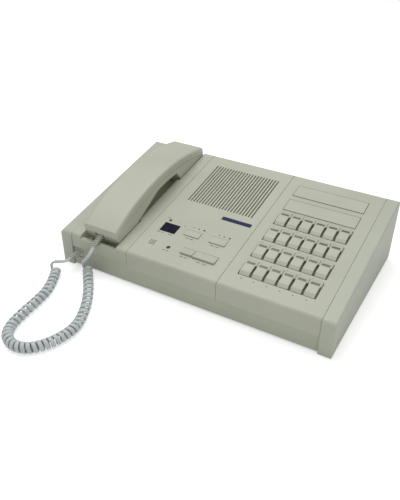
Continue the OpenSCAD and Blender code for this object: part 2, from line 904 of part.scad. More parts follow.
module handset_upper_shell() {
  color(body_c)
    difference() {
      intersection() {
        arch_solid(0, part_arc);
        on_panel() box(hs_x - 5, hs_end + 5, hs_front, hs_rear, -60, 60);
      }
      difference() {
        intersection() {
          arch_solid(shell_t, part_arc - 5);
          on_panel() box(hs_x - 5, hs_end + 5, hs_front + shell_t, hs_rear - shell_t, -60, 60);
        }
        for (p = hs_screws)
          on_panel(p[0], p[1], -10)
            cylinder(d = hs_boss_d, h = 60);
      }
      for (p = hs_screws)
        on_panel(p[0], p[1], -20)
          cylinder(d = hs_screw_d + 2 * fit, h = 20 + hs_screw_len - ear_depth + 1);
    }
}

// Centres of the two bends in the grip's underside, in (s, h)
bend_c = [crown_s, arc_h] + (hs_arc - grip_t - grip_bend) * [cos(89), sin(89)];
bend_end = bend_c + grip_bend * [-sin(grip_slope), cos(grip_slope)];
ear_end_s = hs_front + ear_run;
ear_end_h = bend_end[1] - (bend_end[0] - ear_end_s) * tan(grip_slope);
ear_c = [ear_end_s, ear_end_h] - ear_bend * [-sin(grip_slope), cos(grip_slope)];

// Outline of the lower shell in (s, h), inset by w from its outer faces
function lower_outline(w) =
  let (
    low = w - ear_depth,
    under = hs_arc - grip_t + w,
    a0 = 180 - asin((low - ear_c[1]) / (ear_bend + w)),
    s_step = grip_s + 1.15 * w,
    a1 = acos((s_step - crown_s) / under),
    rear_s = hs_rear - w,
    front_s = hs_front + 1.2 * w,
    open = w > 0 ? 20 : 0,
    top = part_arc - shell_gap + open,
    b0 = acos((rear_s - crown_s) / top),
    b1 = acos((front_s - crown_s) / top)
  )
  concat(
    [[hs_front + front_lean + 0.55 * w, low]],
    arc(ear_c, ear_bend + w, a0, 90 + grip_slope, 6),
    arc(bend_c, grip_bend + w, 90 + grip_slope, 89, 4),
    arc([crown_s, arc_h], under, 89, a1, 4),
    [
      [grip_s + 0.57 * rear_step + 1.1 * w, (low + part_h(grip_s, hs_arc - grip_t)) / 2 - 1],
      [grip_s + rear_step + 0.8 * w, low],
      [hs_rear - rear_lean - 0.8 * w, low],
      [rear_s, part_h(rear_s, top - open)]
    ],
    arc([crown_s, arc_h], top, b0 + 0.01, b1 - 0.01, 16),
    [[front_s, part_h(front_s, top - open)]]
  );

module lower_solid(w) {
  on_panel()
    across(hs_x + w, hs_end - w)
      polygon(lower_outline(w));
}

module sound_holes(s) {
  on_panel(hs_mid, s, -ear_depth - 1) {
    cylinder(d = sound_d, h = shell_t + 2);
    for (a = [0 : 60 : 300])
      rotate([0, 0, a])
        translate([2.4, 0, 0])
          cylinder(d = sound_d, h = shell_t + 2);
  }
}

module handset_lower_shell() {
  color(body_c)
    difference() {
      union() {
        difference() {
          lower_solid(0);
          lower_solid(shell_t);
        }
        intersection() {
          lower_solid(0);
          for (p = hs_screws)
            on_panel(p[0], p[1], -ear_depth)
              cylinder(d = hs_boss_d, h = 40);
        }
      }
      for (p = hs_screws)
        on_panel(p[0], p[1], -ear_depth - 1) {
          cylinder(d = hs_screw_d + 2 * fit, h = 40);
          cylinder(d = hs_screw_d + 2.6 + 2 * fit, h = 1 + hs_head_t + fit);
        }
      sound_holes(hs_mic_s);
      sound_holes(receiver_s);
      on_panel(plug_x, hs_front - 2, plug_axis_h)
        box(-7, 7, 0, 14, -plug_h / 2 - 0.4, 30);
    }
}

module handset_receiver() {
  color(metal_c)
    on_panel(hs_mid, receiver_s, ear_floor)
      cylinder(d = receiver_d, h = receiver_t);
}

module handset_microphone() {
  color(metal_c)
    on_panel(hs_mid, hs_mic_s, ear_floor)
      cylinder(d = hs_mic_d, h = hs_mic_t);
}

module handset_jack() {
  s0 = hs_front + 10;
  color(dark_c)
    on_panel(plug_x, s0, plug_axis_h) {
      socket_block(plug_w + 2 * fit + 2 * socket_wall, plug_h + 2 * fit + 2 * socket_wall, 11);
      box(-6, 6, 7, 11, ear_floor - plug_axis_h, -plug_h / 2 - 0.2);
    }
}

module handset_screws() {
  color(metal_c)
    for (p = hs_screws)
      on_panel(p[0], p[1], -ear_depth)
        screw(hs_screw_d, hs_screw_d + 2.6, hs_head_t, hs_screw_len);
}

// ---------- cord ----------

// Plug body along +Y with its ribbed strain relief running out along -Y
boot_ribs = 6;
boot_tip = [cord_w + 0.8, cord_t + 1.2];

module strain_relief() {
  step = boot_len / boot_ribs;
  for (i = [0 : boot_ribs - 1]) {
    f = (i + 0.5) / boot_ribs;
    w = boot_w + (boot_tip[0] - boot_w) * f;
    h = boot_h + (boot_tip[1] - boot_h) * f;
    translate([-w / 2, -(i + 0.68) * step, -h / 2])
      cube([w, 0.68 * step, h]);
  }
  translate([-boot_tip[0] / 2, -boot_len, -boot_tip[1] / 2])
    cube([boot_tip[0], boot_len, boot_tip[1]]);
}

module plug_body(len) {
  translate([-plug_w / 2, 0, -plug_h / 2])
    cube([plug_w, len, plug_h]);
}

// Console plug: its mouth end lies at the socket's mouth
plug_mouth_y = tray_recess + 1;
module plug_console() {
  color(cord_c)
    place()
      translate([socket_x, plug_mouth_y, socket_z]) {
        plug_body(plug_len);
        translate([0, tray_recess + 0.2 - plug_mouth_y, 0])
          rotate([-90, 0, 0])
            linear_extrude(flange_t)
              socket_outline(flange_gap);
        translate([0, 0.01, 0]) strain_relief();
      }
}

module plug_handset() {
  color(cord_c)
    on_panel(plug_x, boot_s, plug_axis_h) {
      translate([0, 0.5, 0]) plug_body(hs_front + 10 + plug_len - boot_s - 1);
      rotate([boot_droop, 0, 0])
        translate([0, 1, 0]) strain_relief();
    }
}

// Points and directions of the route, from the panel frame to the console's frame
function panel_vec(v) = [v[0], v[1] * cos(slope) - v[2] * sin(slope), v[1] * sin(slope) + v[2] * cos(slope)];
function panel_pt(v) = panel_vec(v) + [0, 0, front_h];

lead_gap = 0.02;
boot_dir = panel_vec([0, -cos(boot_droop), -sin(boot_droop)]);
boot_up = panel_vec([0, -sin(boot_droop), cos(boot_droop)]);
handset_exit = panel_pt([plug_x, boot_s, plug_axis_h]) + (boot_len - 1 + lead_gap) * boot_dir;
console_exit = [socket_x, plug_mouth_y + 0.01 - boot_len, socket_z];

// Middle of the curls on the table, three curls or so from point to point,
// from the handset's side round to the console's
curl_route = [
  [42.5, -6.5], [56.5, -23], [73, -43], [87.5, -65], [98.5, -88.5], [102, -106.5],
  [99.5, -124.5], [92.5, -141], [81, -154], [65, -158.5], [48.5, -151.5], [39.5, -136.5],
  [35.5, -114.5], [33.5, -91], [30, -68.5], [21, -47], [10.5, -29]
];
curl_r = (curl_d - cord_t) / 2;
curl_rings = 8;
curl_start = 180;
last = len(curl_route) - 1;

function unit(v) = v / norm(v);

// Smooth curve through points, u running from 0 to the last point's number
function along(p, u) =
  let (
    i = min(floor(u), len(p) - 2),
    t = u - i,
    b = p[i],
    c = p[i + 1],
    a = i > 0 ? p[i - 1] : 2 * b - c,
    d = i < len(p) - 2 ? p[i + 2] : 2 * c - b
  )
  (2 * b + (c - a) * t + (2 * a - 5 * b + 4 * c - d) * t * t + (3 * b - a - 3 * c + d) * t * t * t) / 2;

function lift(u) = first_lift * pow(max(0, 1 - u * curls / last / 1.3), 2);
function axis_pt(u) = let (p = along(curl_route, u)) [p[0], p[1], curl_d / 2 + 0.05 + lift(u)];
function axis_dir(u) = unit(axis_pt(min(u + 0.02, last)) - axis_pt(max(u - 0.02, 0)));
function curl_out(u) =
  let (
    t = axis_dir(u),
    side = unit(cross([0, 0, 1], t)),
    up = cross(t, side),
    a = curl_start + 360 * curls * u / last
  )
  cos(a) * side + sin(a) * up;
function curl_pt(u) = axis_pt(u) + curl_r * curl_out(u);
function curl_dir(u) = unit(curl_pt(min(u + 0.005, last)) - curl_pt(max(u - 0.005, 0)));

// One ring of the flat cord: a flattened polygon square to the direction
function ring(p, dir, out, sides) =
  let (
    n = unit(out - (out * dir) * dir),
    b = cross(dir, n),
    top = sin(360 * floor(sides / 4 + 0.5) / sides)
  )
  [for (k = [0 : sides - 1]) let (a = 360 * k / sides) p + b * cord_w / 2 * cos(a) + n * cord_t / 2 * sin(a) / top];

module swept(rings, sides) {
  m = len(rings);
  polyhedron(
    points = [for (r = rings) each r],
    faces = concat(
      [for (k = [1 : sides - 2]) [0, k + 1, k]],
      [for (k = [1 : sides - 2]) [for (q = [0, k, k + 1]) (m - 1) * sides + q]],
      [for (j = [0 : m - 2], k = [0 : sides - 1])
        [j * sides + k, j * sides + (k + 1) % sides, (j + 1) * sides + (k + 1) % sides]],
      [for (j = [0 : m - 2], k = [0 : sides - 1])
        [j * sides + k, (j + 1) * sides + (k + 1) % sides, (j + 1) * sides + k]]
    )
  );
}

curl_steps = round(curls * curl_rings);
curl_list = concat(
  [ring(curl_pt(0) - cord_w * curl_dir(0), curl_dir(0), curl_out(0), 6)],
  [for (i = [0 : curl_steps]) let (u = last * i / curl_steps) ring(curl_pt(u), curl_dir(u), curl_out(u), 6)],
  [ring(curl_pt(last) + cord_w * curl_dir(last), curl_dir(last), curl_out(last), 6)]
);
curl_gaps = [
  for (i = [0 : len(curl_list) - curl_rings - 2], j = [-1 : 1], p = curl_list[i], q = curl_list[i + curl_rings + j])
    norm(p - q)
];
echo(least_gap_of_the_curls = min(curl_gaps));

module cord_curls() {
  color(cord_c) place() swept(curl_list, 6);
}

// Chosen points of the two plain leads, between a plug and the curls
handset_lead = concat(
  [handset_exit, handset_exit + 3 * boot_dir],
  [[54.5, -14.5, 35], [49.5, -15.5, 28], [43.5, -14.5, 21.5]],
  [curl_pt(0) - (cord_w + 3) * curl_dir(0), curl_pt(0) - cord_w * curl_dir(0)]
);
console_lead = concat(
  [console_exit, console_exit + [0, -3, 0]],
  [[18.5, -23.5, 18.5], [12, -24.5, 16.5], [5.5, -25.5, 14.5]],
  [curl_pt(last) + (cord_w + 2.5) * curl_dir(last), curl_pt(last) + cord_w * curl_dir(last)]
);

// Rings along a lead, its flat side turning evenly from one end's to the other's
function lead_rings(p, up0, up1, steps) =
  let (end = len(p) - 1)
  [
    for (i = [0 : steps])
      let (
        u = end * i / steps,
        mid_dir = unit(along(p, min(u + 0.01, end)) - along(p, max(u - 0.01, 0))),
        dir = i == 0 ? unit(p[1] - p[0]) : i == steps ? unit(p[end] - p[end - 1]) : mid_dir,
        f = i / steps
      )
      ring(along(p, u), dir, unit((1 - f) * up0 + f * up1), 8)
  ];

module cord_lead_handset() {
  color(cord_c)
    place()
      swept(lead_rings(handset_lead, boot_up, curl_out(0), 24), 8);
}

module cord_lead_console() {
  color(cord_c)
    place()
      swept(lead_rings(console_lead, [0, 0, 1], curl_out(last), 24), 8);
}

// ---------- moving pieces ----------

module hook_plunger() {
  color(dark_c)
    on_panel(hs_mid, plunger_s, well_floor - plunger_len)
      cylinder(d = plunger_d, h = plunger_len);
}

// Wedge cap with a retaining flange under the panel and a square stem
module function_button(i) {
  b = buttons[i];
  color(body_c) {
    on_panel()
      across(b[0], b[0] + b[1])
        polygon([[b[2], -wall - 0.4], [b[2], b[4]], [b[2] + b[3], 0.2], [b[2] + b[3], -wall - 0.4]]);
    on_panel(b[0], b[2])
      box(0, b[1], -0.8, b[3] + 0.8, -wall - 1.5, -wall - 0.3);
    on_panel(b[0] + b[1] / 2, b[2] + b[3] / 2)
      box(-stem_w / 2, stem_w / 2, -stem_w / 2, stem_w / 2, -9, -wall);
  }
}

module station_key(i) {
  x = key_x(i) + (key_pitch - cap_w) / 2;
  s = key_s(i);
  color(body_c) {
    on_panel()
      across(x, x + cap_w)
        polygon([[s, -0.3], [s, 0.6], [s + 4.5, cap_h], [s + cap_d, cap_h], [s + cap_d, -0.3]]);
    on_panel(key_x(i) + key_pitch / 2, s + cap_d / 2)
      box(-stem_w / 2, stem_w / 2, -stem_w / 2, stem_w / 2, stem_low, 0);
  }
}

base_tray();
left_cheek();
right_cheek();
cradle_housing();
control_housing();
keypad_housing();
rubber_feet();
loudspeaker();
circuit_boards();
display_window();
badge_plate();
label_covers();
label_cards();
indicator_lamps();
key_switches();
microphone_capsule();
console_jack();
hook_switch();
case_screws();
rear_sockets();
handset_upper_shell();
handset_lower_shell();
handset_receiver();
handset_microphone();
handset_jack();
handset_screws();
cord_lead_console();
cord_curls();
cord_lead_handset();
plug_console();
plug_handset();
hook_plunger();
for (i = [0 : len(buttons) - 1])
  function_button(i);
for (i = [0 : keys - 1])
  station_key(i);
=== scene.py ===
import math

import bmesh
import bpy
from mathutils import Matrix, Vector


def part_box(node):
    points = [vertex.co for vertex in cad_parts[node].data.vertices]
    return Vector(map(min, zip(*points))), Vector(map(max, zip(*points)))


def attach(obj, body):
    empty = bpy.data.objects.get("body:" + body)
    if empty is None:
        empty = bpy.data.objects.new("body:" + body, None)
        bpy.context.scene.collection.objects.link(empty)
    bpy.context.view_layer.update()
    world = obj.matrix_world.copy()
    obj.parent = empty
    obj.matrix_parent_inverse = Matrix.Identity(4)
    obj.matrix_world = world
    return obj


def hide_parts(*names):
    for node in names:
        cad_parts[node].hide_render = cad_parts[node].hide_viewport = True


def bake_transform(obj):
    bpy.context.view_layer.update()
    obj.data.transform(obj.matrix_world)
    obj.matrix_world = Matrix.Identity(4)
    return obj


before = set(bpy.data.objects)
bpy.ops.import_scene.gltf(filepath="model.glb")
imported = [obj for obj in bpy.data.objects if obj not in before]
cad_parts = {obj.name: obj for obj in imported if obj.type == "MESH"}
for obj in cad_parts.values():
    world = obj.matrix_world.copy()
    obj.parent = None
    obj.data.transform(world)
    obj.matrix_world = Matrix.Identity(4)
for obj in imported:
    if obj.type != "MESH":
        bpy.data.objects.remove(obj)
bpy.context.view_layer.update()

# ---------------------------------------------------------------------------
# The studio: a camera at the photograph's angle, a pale table top without an
# edge, a broad soft light overhead and an even white surround.
# ---------------------------------------------------------------------------
CAMERA_AT = (0.2921, -0.5893, 0.4482)
CAMERA_PITCH = math.radians(33.49)
CAMERA_YAW = math.radians(29.60)
CAMERA_ROLL = math.radians(0.59)
FOCAL_PIXELS = 602.7
PICTURE_HEIGHT = 500
SENSOR_MM = 36.0
NEAREST_SEEN = 0.01


def aimed_camera(place, pitch, yaw, roll):
    """Set up a camera that looks down by pitch, turned left from +Y by yaw."""
    data = bpy.data.cameras.new("camera")
    data.sensor_width = SENSOR_MM
    data.lens = FOCAL_PIXELS / PICTURE_HEIGHT * SENSOR_MM
    data.clip_start = NEAREST_SEEN
    camera = bpy.data.objects.new("camera", data)
    bpy.context.scene.collection.objects.link(camera)
    turn = (
        Matrix.Rotation(yaw, 4, "Z")
        @ Matrix.Rotation(math.pi / 2 - pitch, 4, "X")
        @ Matrix.Rotation(roll, 4, "Z")
    )
    camera.matrix_world = Matrix.Translation(place) @ turn
    bpy.context.scene.camera = camera


aimed_camera(CAMERA_AT, CAMERA_PITCH, CAMERA_YAW, CAMERA_ROLL)
bpy.context.scene.view_settings.view_transform = "Standard"


def soft_light(name, place, target, width, watts):
    """Hang a square area lamp and aim it at a point."""
    data = bpy.data.lights.new(name, "AREA")
    data.shape = "SQUARE"
    data.size = width
    data.energy = watts
    lamp = bpy.data.objects.new(name, data)
    bpy.context.scene.collection.objects.link(lamp)
    aim = (Vector(target) - Vector(place)).to_track_quat("-Z", "Y")
    lamp.matrix_world = Matrix.Translation(place) @ aim.to_matrix().to_4x4()


soft_light("overhead_light", place=(-0.35, 0.25, 1.6), target=(0, 0, 0), width=1.3, watts=14.2)
soft_light("side_light", place=(1.5, -0.9, 0.9), target=(0, 0, 0.03), width=0.9, watts=3.2)

SURROUND_LIGHT = 0.44
world = bpy.data.worlds.new("white_surround")
world.use_nodes = True
surround = world.node_tree.nodes["Background"]
surround.inputs["Color"].default_value = (1.0, 1.0, 1.0, 1.0)
in_view = world.node_tree.nodes.new("ShaderNodeLightPath")
brightness = world.node_tree.nodes.new("ShaderNodeMapRange")
brightness.inputs["To Min"].default_value = SURROUND_LIGHT
brightness.inputs["To Max"].default_value = 1.0
world.node_tree.links.new(in_view.outputs["Is Camera Ray"], brightness.inputs["Value"])
world.node_tree.links.new(brightness.outputs["Result"], surround.inputs["Strength"])
bpy.context.scene.world = world


def shader_tree(name):
    """A material with an empty node tree and its Principled shader."""
    material = bpy.data.materials.new(name)
    material.use_nodes = True
    tree = material.node_tree
    tree.nodes.clear()
    shader = tree.nodes.new("ShaderNodeBsdfPrincipled")
    output = tree.nodes.new("ShaderNodeOutputMaterial")
    tree.links.new(shader.outputs["BSDF"], output.inputs["Surface"])
    return material, tree, shader


def new_node(tree, kind, **inputs):
    """A shader node with some of its inputs set by name."""
    node = tree.nodes.new(kind)
    for key, value in inputs.items():
        node.inputs[key.replace("_", " ")].default_value = value
    return node


FLOOR_WHITE = (0.93, 0.93, 0.93, 1)
FLOOR_LIFT = 0.45
FLOOR_HALF_WIDTH = 12.0


def table_top():
    """Lay a wide pale floor, which the camera sees lifted to white with its shadows."""
    material, tree, shader = shader_tree("table_white")
    shader.inputs["Base Color"].default_value = FLOOR_WHITE
    shader.inputs["Roughness"].default_value = 0.9
    shader.inputs["Specular IOR Level"].default_value = 0.1
    shader.inputs["Emission Color"].default_value = (1, 1, 1, 1)
    seen = tree.nodes.new("ShaderNodeLightPath")
    lifted = tree.nodes.new("ShaderNodeMath")
    lifted.operation = "MULTIPLY"
    lifted.inputs[1].default_value = FLOOR_LIFT
    tree.links.new(seen.outputs["Is Camera Ray"], lifted.inputs[0])
    tree.links.new(lifted.outputs[0], shader.inputs["Emission Strength"])
    mesh = bpy.data.meshes.new("table_top")
    bm = bmesh.new()
    bmesh.ops.create_grid(bm, x_segments=1, y_segments=1, size=FLOOR_HALF_WIDTH)
    bm.to_mesh(mesh)
    bm.free()
    floor = bpy.data.objects.new("table_top", mesh)
    mesh.materials.append(material)
    bpy.context.scene.collection.objects.link(floor)


table_top()

# ---------------------------------------------------------------------------
# The base tray: one deep moulding in pale olive ABS that closes the console
# from below. The two cheeks and the three housings are screwed down to it.
# ---------------------------------------------------------------------------

# CORNER is the front left corner of the housings, on the table. PANEL has its
# origin straight above, at the front edge of the sloping top: X runs right, Y
# runs up the slope and Z stands out of it.
MM = 0.001
SLOPE = math.radians(10.15)
PANEL_FRONT = 0.047
CHEEK_PROUD = 0.001
cheek_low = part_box("left_cheek")[0]
CORNER = Vector((cheek_low[0], cheek_low[1] + CHEEK_PROUD, 0))
PANEL_EDGE = CORNER + Vector((0, 0, PANEL_FRONT))
PANEL = Matrix.Translation(PANEL_EDGE) @ Matrix.Rotation(SLOPE, 4, "X")
TO_PANEL = PANEL.inverted()
SAME = 0.03 * MM
SHARP_ANGLE = math.radians(28)
SMOOTH_ANGLE = math.radians(40)
LONG_EDGE = 3 * MM
MERGE_WITHIN = 0.002 * MM
FLAT_WITHIN = math.radians(0.4)
TRAY_END_ROUND = 0.4 * MM
TRAY_FOOT_ROUND = 0.6 * MM
TRAY_FOOT = 2 * MM + SAME

OLIVE_DARK = (0.478, 0.498, 0.402)
OLIVE_LIGHT = (0.522, 0.541, 0.440)


def mottled(
    name, dark, light, scale=11.0, gloss=(0.38, 0.5), grain=(1300.0, 0.1), metal=0.0, shine=0.5
):
    """A material whose tint and gloss wander a little, with a fine surface grain."""
    material, tree, shader = shader_tree(name)
    place = tree.nodes.new("ShaderNodeTexCoord").outputs["Object"]
    patches = new_node(tree, "ShaderNodeTexNoise", Scale=scale, Detail=6.0, Roughness=0.6)
    tree.links.new(place, patches.inputs["Vector"])
    tint = tree.nodes.new("ShaderNodeValToRGB")
    tint.color_ramp.elements[0].position = 0.35
    tint.color_ramp.elements[0].color = (*dark, 1)
    tint.color_ramp.elements[1].position = 0.65
    tint.color_ramp.elements[1].color = (*light, 1)
    tree.links.new(patches.outputs["Fac"], tint.inputs["Fac"])
    tree.links.new(tint.outputs["Color"], shader.inputs["Base Color"])
    rubbed = new_node(tree, "ShaderNodeTexNoise", Scale=scale * 4, Detail=8.0, Roughness=0.7)
    tree.links.new(place, rubbed.inputs["Vector"])
    sheen = new_node(tree, "ShaderNodeMapRange", To_Min=gloss[0], To_Max=gloss[1])
    sheen.inputs["From Min"].default_value = 0.3
    sheen.inputs["From Max"].default_value = 0.7
    tree.links.new(rubbed.outputs["Fac"], sheen.inputs["Value"])
    tree.links.new(sheen.outputs["Result"], shader.inputs["Roughness"])
    shader.inputs["Metallic"].default_value = metal
    shader.inputs["Specular IOR Level"].default_value = shine
    pits = new_node(tree, "ShaderNodeTexNoise", Scale=grain[0], Detail=3.0)
    tree.links.new(place, pits.inputs["Vector"])
    bump = new_node(tree, "ShaderNodeBump", Strength=grain[1], Distance=0.0003)
    tree.links.new(pits.outputs["Fac"], bump.inputs["Height"])
    tree.links.new(bump.outputs["Normal"], shader.inputs["Normal"])
    return material


def settled_mesh(name, bm):
    """A mesh whose broad faces shade flat and whose rounded edges shade smooth."""
    mesh = bpy.data.meshes.new(name)
    bm.to_mesh(mesh)
    normals = []
    for face in bm.faces:
        for vert in face.verts:
            total = Vector()
            for near in vert.link_faces:
                if near.normal.angle(face.normal, 0) < SMOOTH_ANGLE:
                    total += near.normal * near.calc_area()
            normals.append(total.normalized() if total.length > 0 else face.normal.copy())
    bm.free()
    mesh.shade_smooth()
    mesh.normals_split_custom_set(normals)
    return mesh


def placed(name, bm, material, body, slot, *nodes):
    """Make a finished mesh a piece, with its material, its body and what it replaces."""
    mesh = settled_mesh(name, bm)
    mesh.materials.append(material)
    piece = bpy.data.objects.new(name, mesh)
    bpy.context.scene.collection.objects.link(piece)
    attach(piece, body)
    if nodes:
        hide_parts(*nodes)


def merged_copy(node):
    """A bmesh copy of a CAD node's mesh, merged and with its flat faces whole."""
    bm = bmesh.new()
    bm.from_mesh(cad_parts[node].data)
    bmesh.ops.remove_doubles(bm, verts=bm.verts, dist=MERGE_WITHIN)
    bmesh.ops.dissolve_limit(bm, angle_limit=FLAT_WITHIN, verts=bm.verts, edges=bm.edges)
    return bm


def soften(bm, pick, width, segments=3):
    """Round off the sharp outer edges for which pick(a, b) holds."""
    edges = [
        edge
        for edge in bm.edges
        if edge.is_manifold
        and edge.is_convex
        and edge.calc_face_angle() > SHARP_ANGLE
        and pick(*(vert.co for vert in edge.verts))
    ]
    if edges:
        bmesh.ops.bevel(
            bm,
            geom=edges,
            offset=width,
            offset_type="OFFSET",
            segments=segments,
            profile=0.5,
            affect="EDGES",
            clamp_overlap=False,
            material=-1,
        )
    bm.normal_update()


def every_edge(a, b):
    """Any edge at all, for soften to round if it is sharp."""
    return True


def long_edge(a, b):
    """An edge that is no short step of a curve in the CAD mesh."""
    return (a - b).length > LONG_EDGE


def panel_edge(a, b):
    """An edge in the console's sloping top surface."""
    return abs((TO_PANEL @ a).z) < SAME and abs((TO_PANEL @ b).z) < SAME


def end_edge(node):
    """A test for edges in either end face of a CAD node, seen along X."""
    ends = [corner.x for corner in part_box(node)]

    def pick(a, b):
        return any(abs(a.x - end) < SAME and abs(b.x - end) < SAME for end in ends)

    return pick


def tray_foot_edge(a, b):
    """A long edge low down on the tray, round its underside."""
    return a.z < TRAY_FOOT and b.z < TRAY_FOOT and long_edge(a, b)


def dress(material, *nodes):
    """Give CAD nodes that keep their own shape a detailed finish."""
    for node in nodes:
        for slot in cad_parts[node].material_slots:
            slot.material = material


case_abs = mottled("case_abs", OLIVE_DARK, OLIVE_LIGHT)
tray_abs = mottled("tray_abs", (0.458, 0.490, 0.382), (0.498, 0.526, 0.415), scale=13.0)
tray_bm = merged_copy("base_tray")
soften(tray_bm, end_edge("base_tray"), TRAY_END_ROUND)
soften(tray_bm, tray_foot_edge, TRAY_FOOT_ROUND)
placed("base_tray_moulding", tray_bm, tray_abs, "console", "tray_plastic", "base_tray")

# ---------------------------------------------------------------------------
# The feet: four black rubber discs pressed into the underside of the tray.
# Their finish is matt with a moulded grain and a trace of dust.
# ---------------------------------------------------------------------------
foot_rubber = mottled(
    "foot_rubber", (0.012, 0.012, 0.012), (0.03, 0.029, 0.027),
    scale=60.0, gloss=(0.7, 0.9), grain=(900.0, 0.4),
)
dress(foot_rubber, "rubber_feet")

# ---------------------------------------------------------------------------
# The two cheeks: hollow end caps in the same ABS, a shade cooler, with a
# rounded rim. Each is screwed to the tray from inside and closes one end.
# ---------------------------------------------------------------------------
CHEEK_ROUND = 0.9 * MM
cheek_abs = mottled("cheek_abs", (0.472, 0.502, 0.418), (0.512, 0.543, 0.452), scale=9.0)
for node in ("left_cheek", "right_cheek"):
    cheek_bm = merged_copy(node)
    soften(cheek_bm, long_edge, CHEEK_ROUND)
    placed(node + "_moulding", cheek_bm, cheek_abs, "console", "case_plastic", node)

# ---------------------------------------------------------------------------
# The cradle housing: the left module, with two deep pockets for the ears of
# the handset, a finger trough between them and a low rounded lip at each end.
# ---------------------------------------------------------------------------
SKIRT_ROUND = 0.9 * MM
SEAM_ROUND = 0.45 * MM
CRADLE_SKIRT_Z = 27.8 * MM
CRADLE_TOP_ROUND = 0.8 * MM
LIP_DROP = 4.5 * MM
LIP_ROUND = 1.1 * MM
WALL_BAND = 0.05 * MM
cradle_low, cradle_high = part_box("cradle_housing")
OUTER_FRONT, OUTER_REAR = cradle_low.y + WALL_BAND, cradle_high.y - WALL_BAND


def skirt_edge(height):
    """A test for the long outer edges at the foot of a housing's walls."""

    def pick(a, b):
        outside = all(v.y < OUTER_FRONT or v.y > OUTER_REAR for v in (a, b))
        return outside and all(abs(v.z - height) < SAME for v in (a, b))

    return pick


def cradle_top_edge(a, b):
    """A long edge in the top surface, round a pocket or the finger trough."""
    return panel_edge(a, b) and long_edge(a, b)


def lip_edge(a, b):
    """A long edge in the top surface of one of the cradle's two low lips."""
    return long_edge(a, b) and all(abs((TO_PANEL @ v).z + LIP_DROP) < SAME for v in (a, b))


def housing(name, node, skirt_z, *roundings):
    """Place a housing with its skirts and ends rounded, and then its other edges."""
    bm = merged_copy(node)
    soften(bm, skirt_edge(skirt_z), SKIRT_ROUND)
    soften(bm, end_edge(node), SEAM_ROUND)
    for pick, width, segments in roundings:
        soften(bm, pick, width, segments)
    placed(name, bm, case_abs, "console", "case_plastic", node)


housing(
    "cradle_moulding",
    "cradle_housing",
    CRADLE_SKIRT_Z,
    (cradle_top_edge, CRADLE_TOP_ROUND, 3),
    (lip_edge, LIP_ROUND, 4),
)

# ---------------------------------------------------------------------------
# The control housing: the middle module. A loudspeaker sits behind its 23
# slots; below are the display, the badge, lamps, buttons and microphone slots.
# ---------------------------------------------------------------------------
SKIRT_Z = 23 * MM
OPENING_ROUND = 0.22 * MM
WEB_LOW, WEB_HIGH = 177.0 * MM, 177.6 * MM


def opening_edge(a, b):
    """An edge in the top surface, save in the thin web between two buttons."""
    web = all(WEB_LOW < v.x - CORNER.x < WEB_HIGH for v in (a, b))
    return panel_edge(a, b) and not web


housing("control_moulding", "control_housing", SKIRT_Z, (opening_edge, OPENING_ROUND, 2))

# ---------------------------------------------------------------------------
# The keypad housing: the right-hand module, with four rows of six openings
# for the key units and two long recesses for the label strips.
# ---------------------------------------------------------------------------
KEYPAD_TOP_ROUND = 0.3 * MM
housing("keypad_moulding", "keypad_housing", SKIRT_Z, (panel_edge, KEYPAD_TOP_ROUND, 2))

# ---------------------------------------------------------------------------
# The loudspeaker: a pressed steel basket with a paper cone, bolted under the
# slots. A dark acoustic cloth is glued to the housing between the two.
# ---------------------------------------------------------------------------

# In panel millimetres, as panel_block takes them.
HOUSING_WALL = 2.5
CLOTH_THICK = 0.3
CLOTH_LOW = (114.5, 116.0, -HOUSING_WALL - CLOTH_THICK)
CLOTH_HIGH = (212.0, 205.0, -HOUSING_WALL)


def panel_block(bm, low, high):
    """Add a box between two corners given in panel millimetres."""
    middle = (Vector(low) + Vector(high)) * MM / 2
    sizes = (Vector(high) - Vector(low)) * MM
    bmesh.ops.create_cube(
        bm, size=1.0, matrix=PANEL @ Matrix.Translation(middle) @ Matrix.Diagonal((*sizes, 1))
    )


cloth_bm = bmesh.new()
panel_block(cloth_bm, CLOTH_LOW, CLOTH_HIGH)
cloth_bm.normal_update()
acoustic_cloth = mottled(
    "acoustic_cloth", (0.110, 0.118, 0.078), (0.150, 0.158, 0.108),
    scale=400.0, gloss=(0.8, 0.95), grain=(2600.0, 0.8),
)
placed("speaker_cloth", cloth_bm, acoustic_cloth, "console", "dark_plastic")
speaker_steel = mottled(
    "speaker_steel", (0.20, 0.20, 0.20), (0.30, 0.30, 0.29),
    scale=40.0, gloss=(0.35, 0.55), grain=(700.0, 0.15), metal=0.8,
)
dress(speaker_steel, "loudspeaker")

# ---------------------------------------------------------------------------
# The works inside: two green glass-fibre boards on standoffs, the microphone
# capsule, the hook switch, the cord sockets and the screws that hold them.
# ---------------------------------------------------------------------------
dark_abs = mottled(
    "dark_abs", (0.016, 0.017, 0.017), (0.028, 0.029, 0.028), scale=30.0, gloss=(0.4, 0.6)
)
plated_steel = mottled(
    "plated_steel", (0.42, 0.42, 0.40), (0.55, 0.55, 0.52),
    scale=120.0, gloss=(0.25, 0.45), grain=(900.0, 0.12), metal=1.0,
)
glass_fibre = mottled(
    "board_glass_fibre", (0.02, 0.09, 0.04), (0.035, 0.14, 0.06),
    scale=180.0, gloss=(0.3, 0.45), grain=(1500.0, 0.2),
)
capsule_can = mottled(
    "capsule_can", (0.38, 0.38, 0.37), (0.5, 0.5, 0.48),
    scale=200.0, gloss=(0.3, 0.4), grain=(900.0, 0.1), metal=1.0,
)
socket_nylon = mottled(
    "socket_nylon", (0.022, 0.022, 0.021), (0.036, 0.036, 0.034), scale=50.0, gloss=(0.45, 0.6)
)
dress(dark_abs, "console_jack", "hook_switch", "hook_plunger", "handset_jack")
dress(plated_steel, "case_screws", "handset_screws")
dress(glass_fibre, "circuit_boards")
dress(capsule_can, "microphone_capsule")
dress(socket_nylon, "rear_sockets")

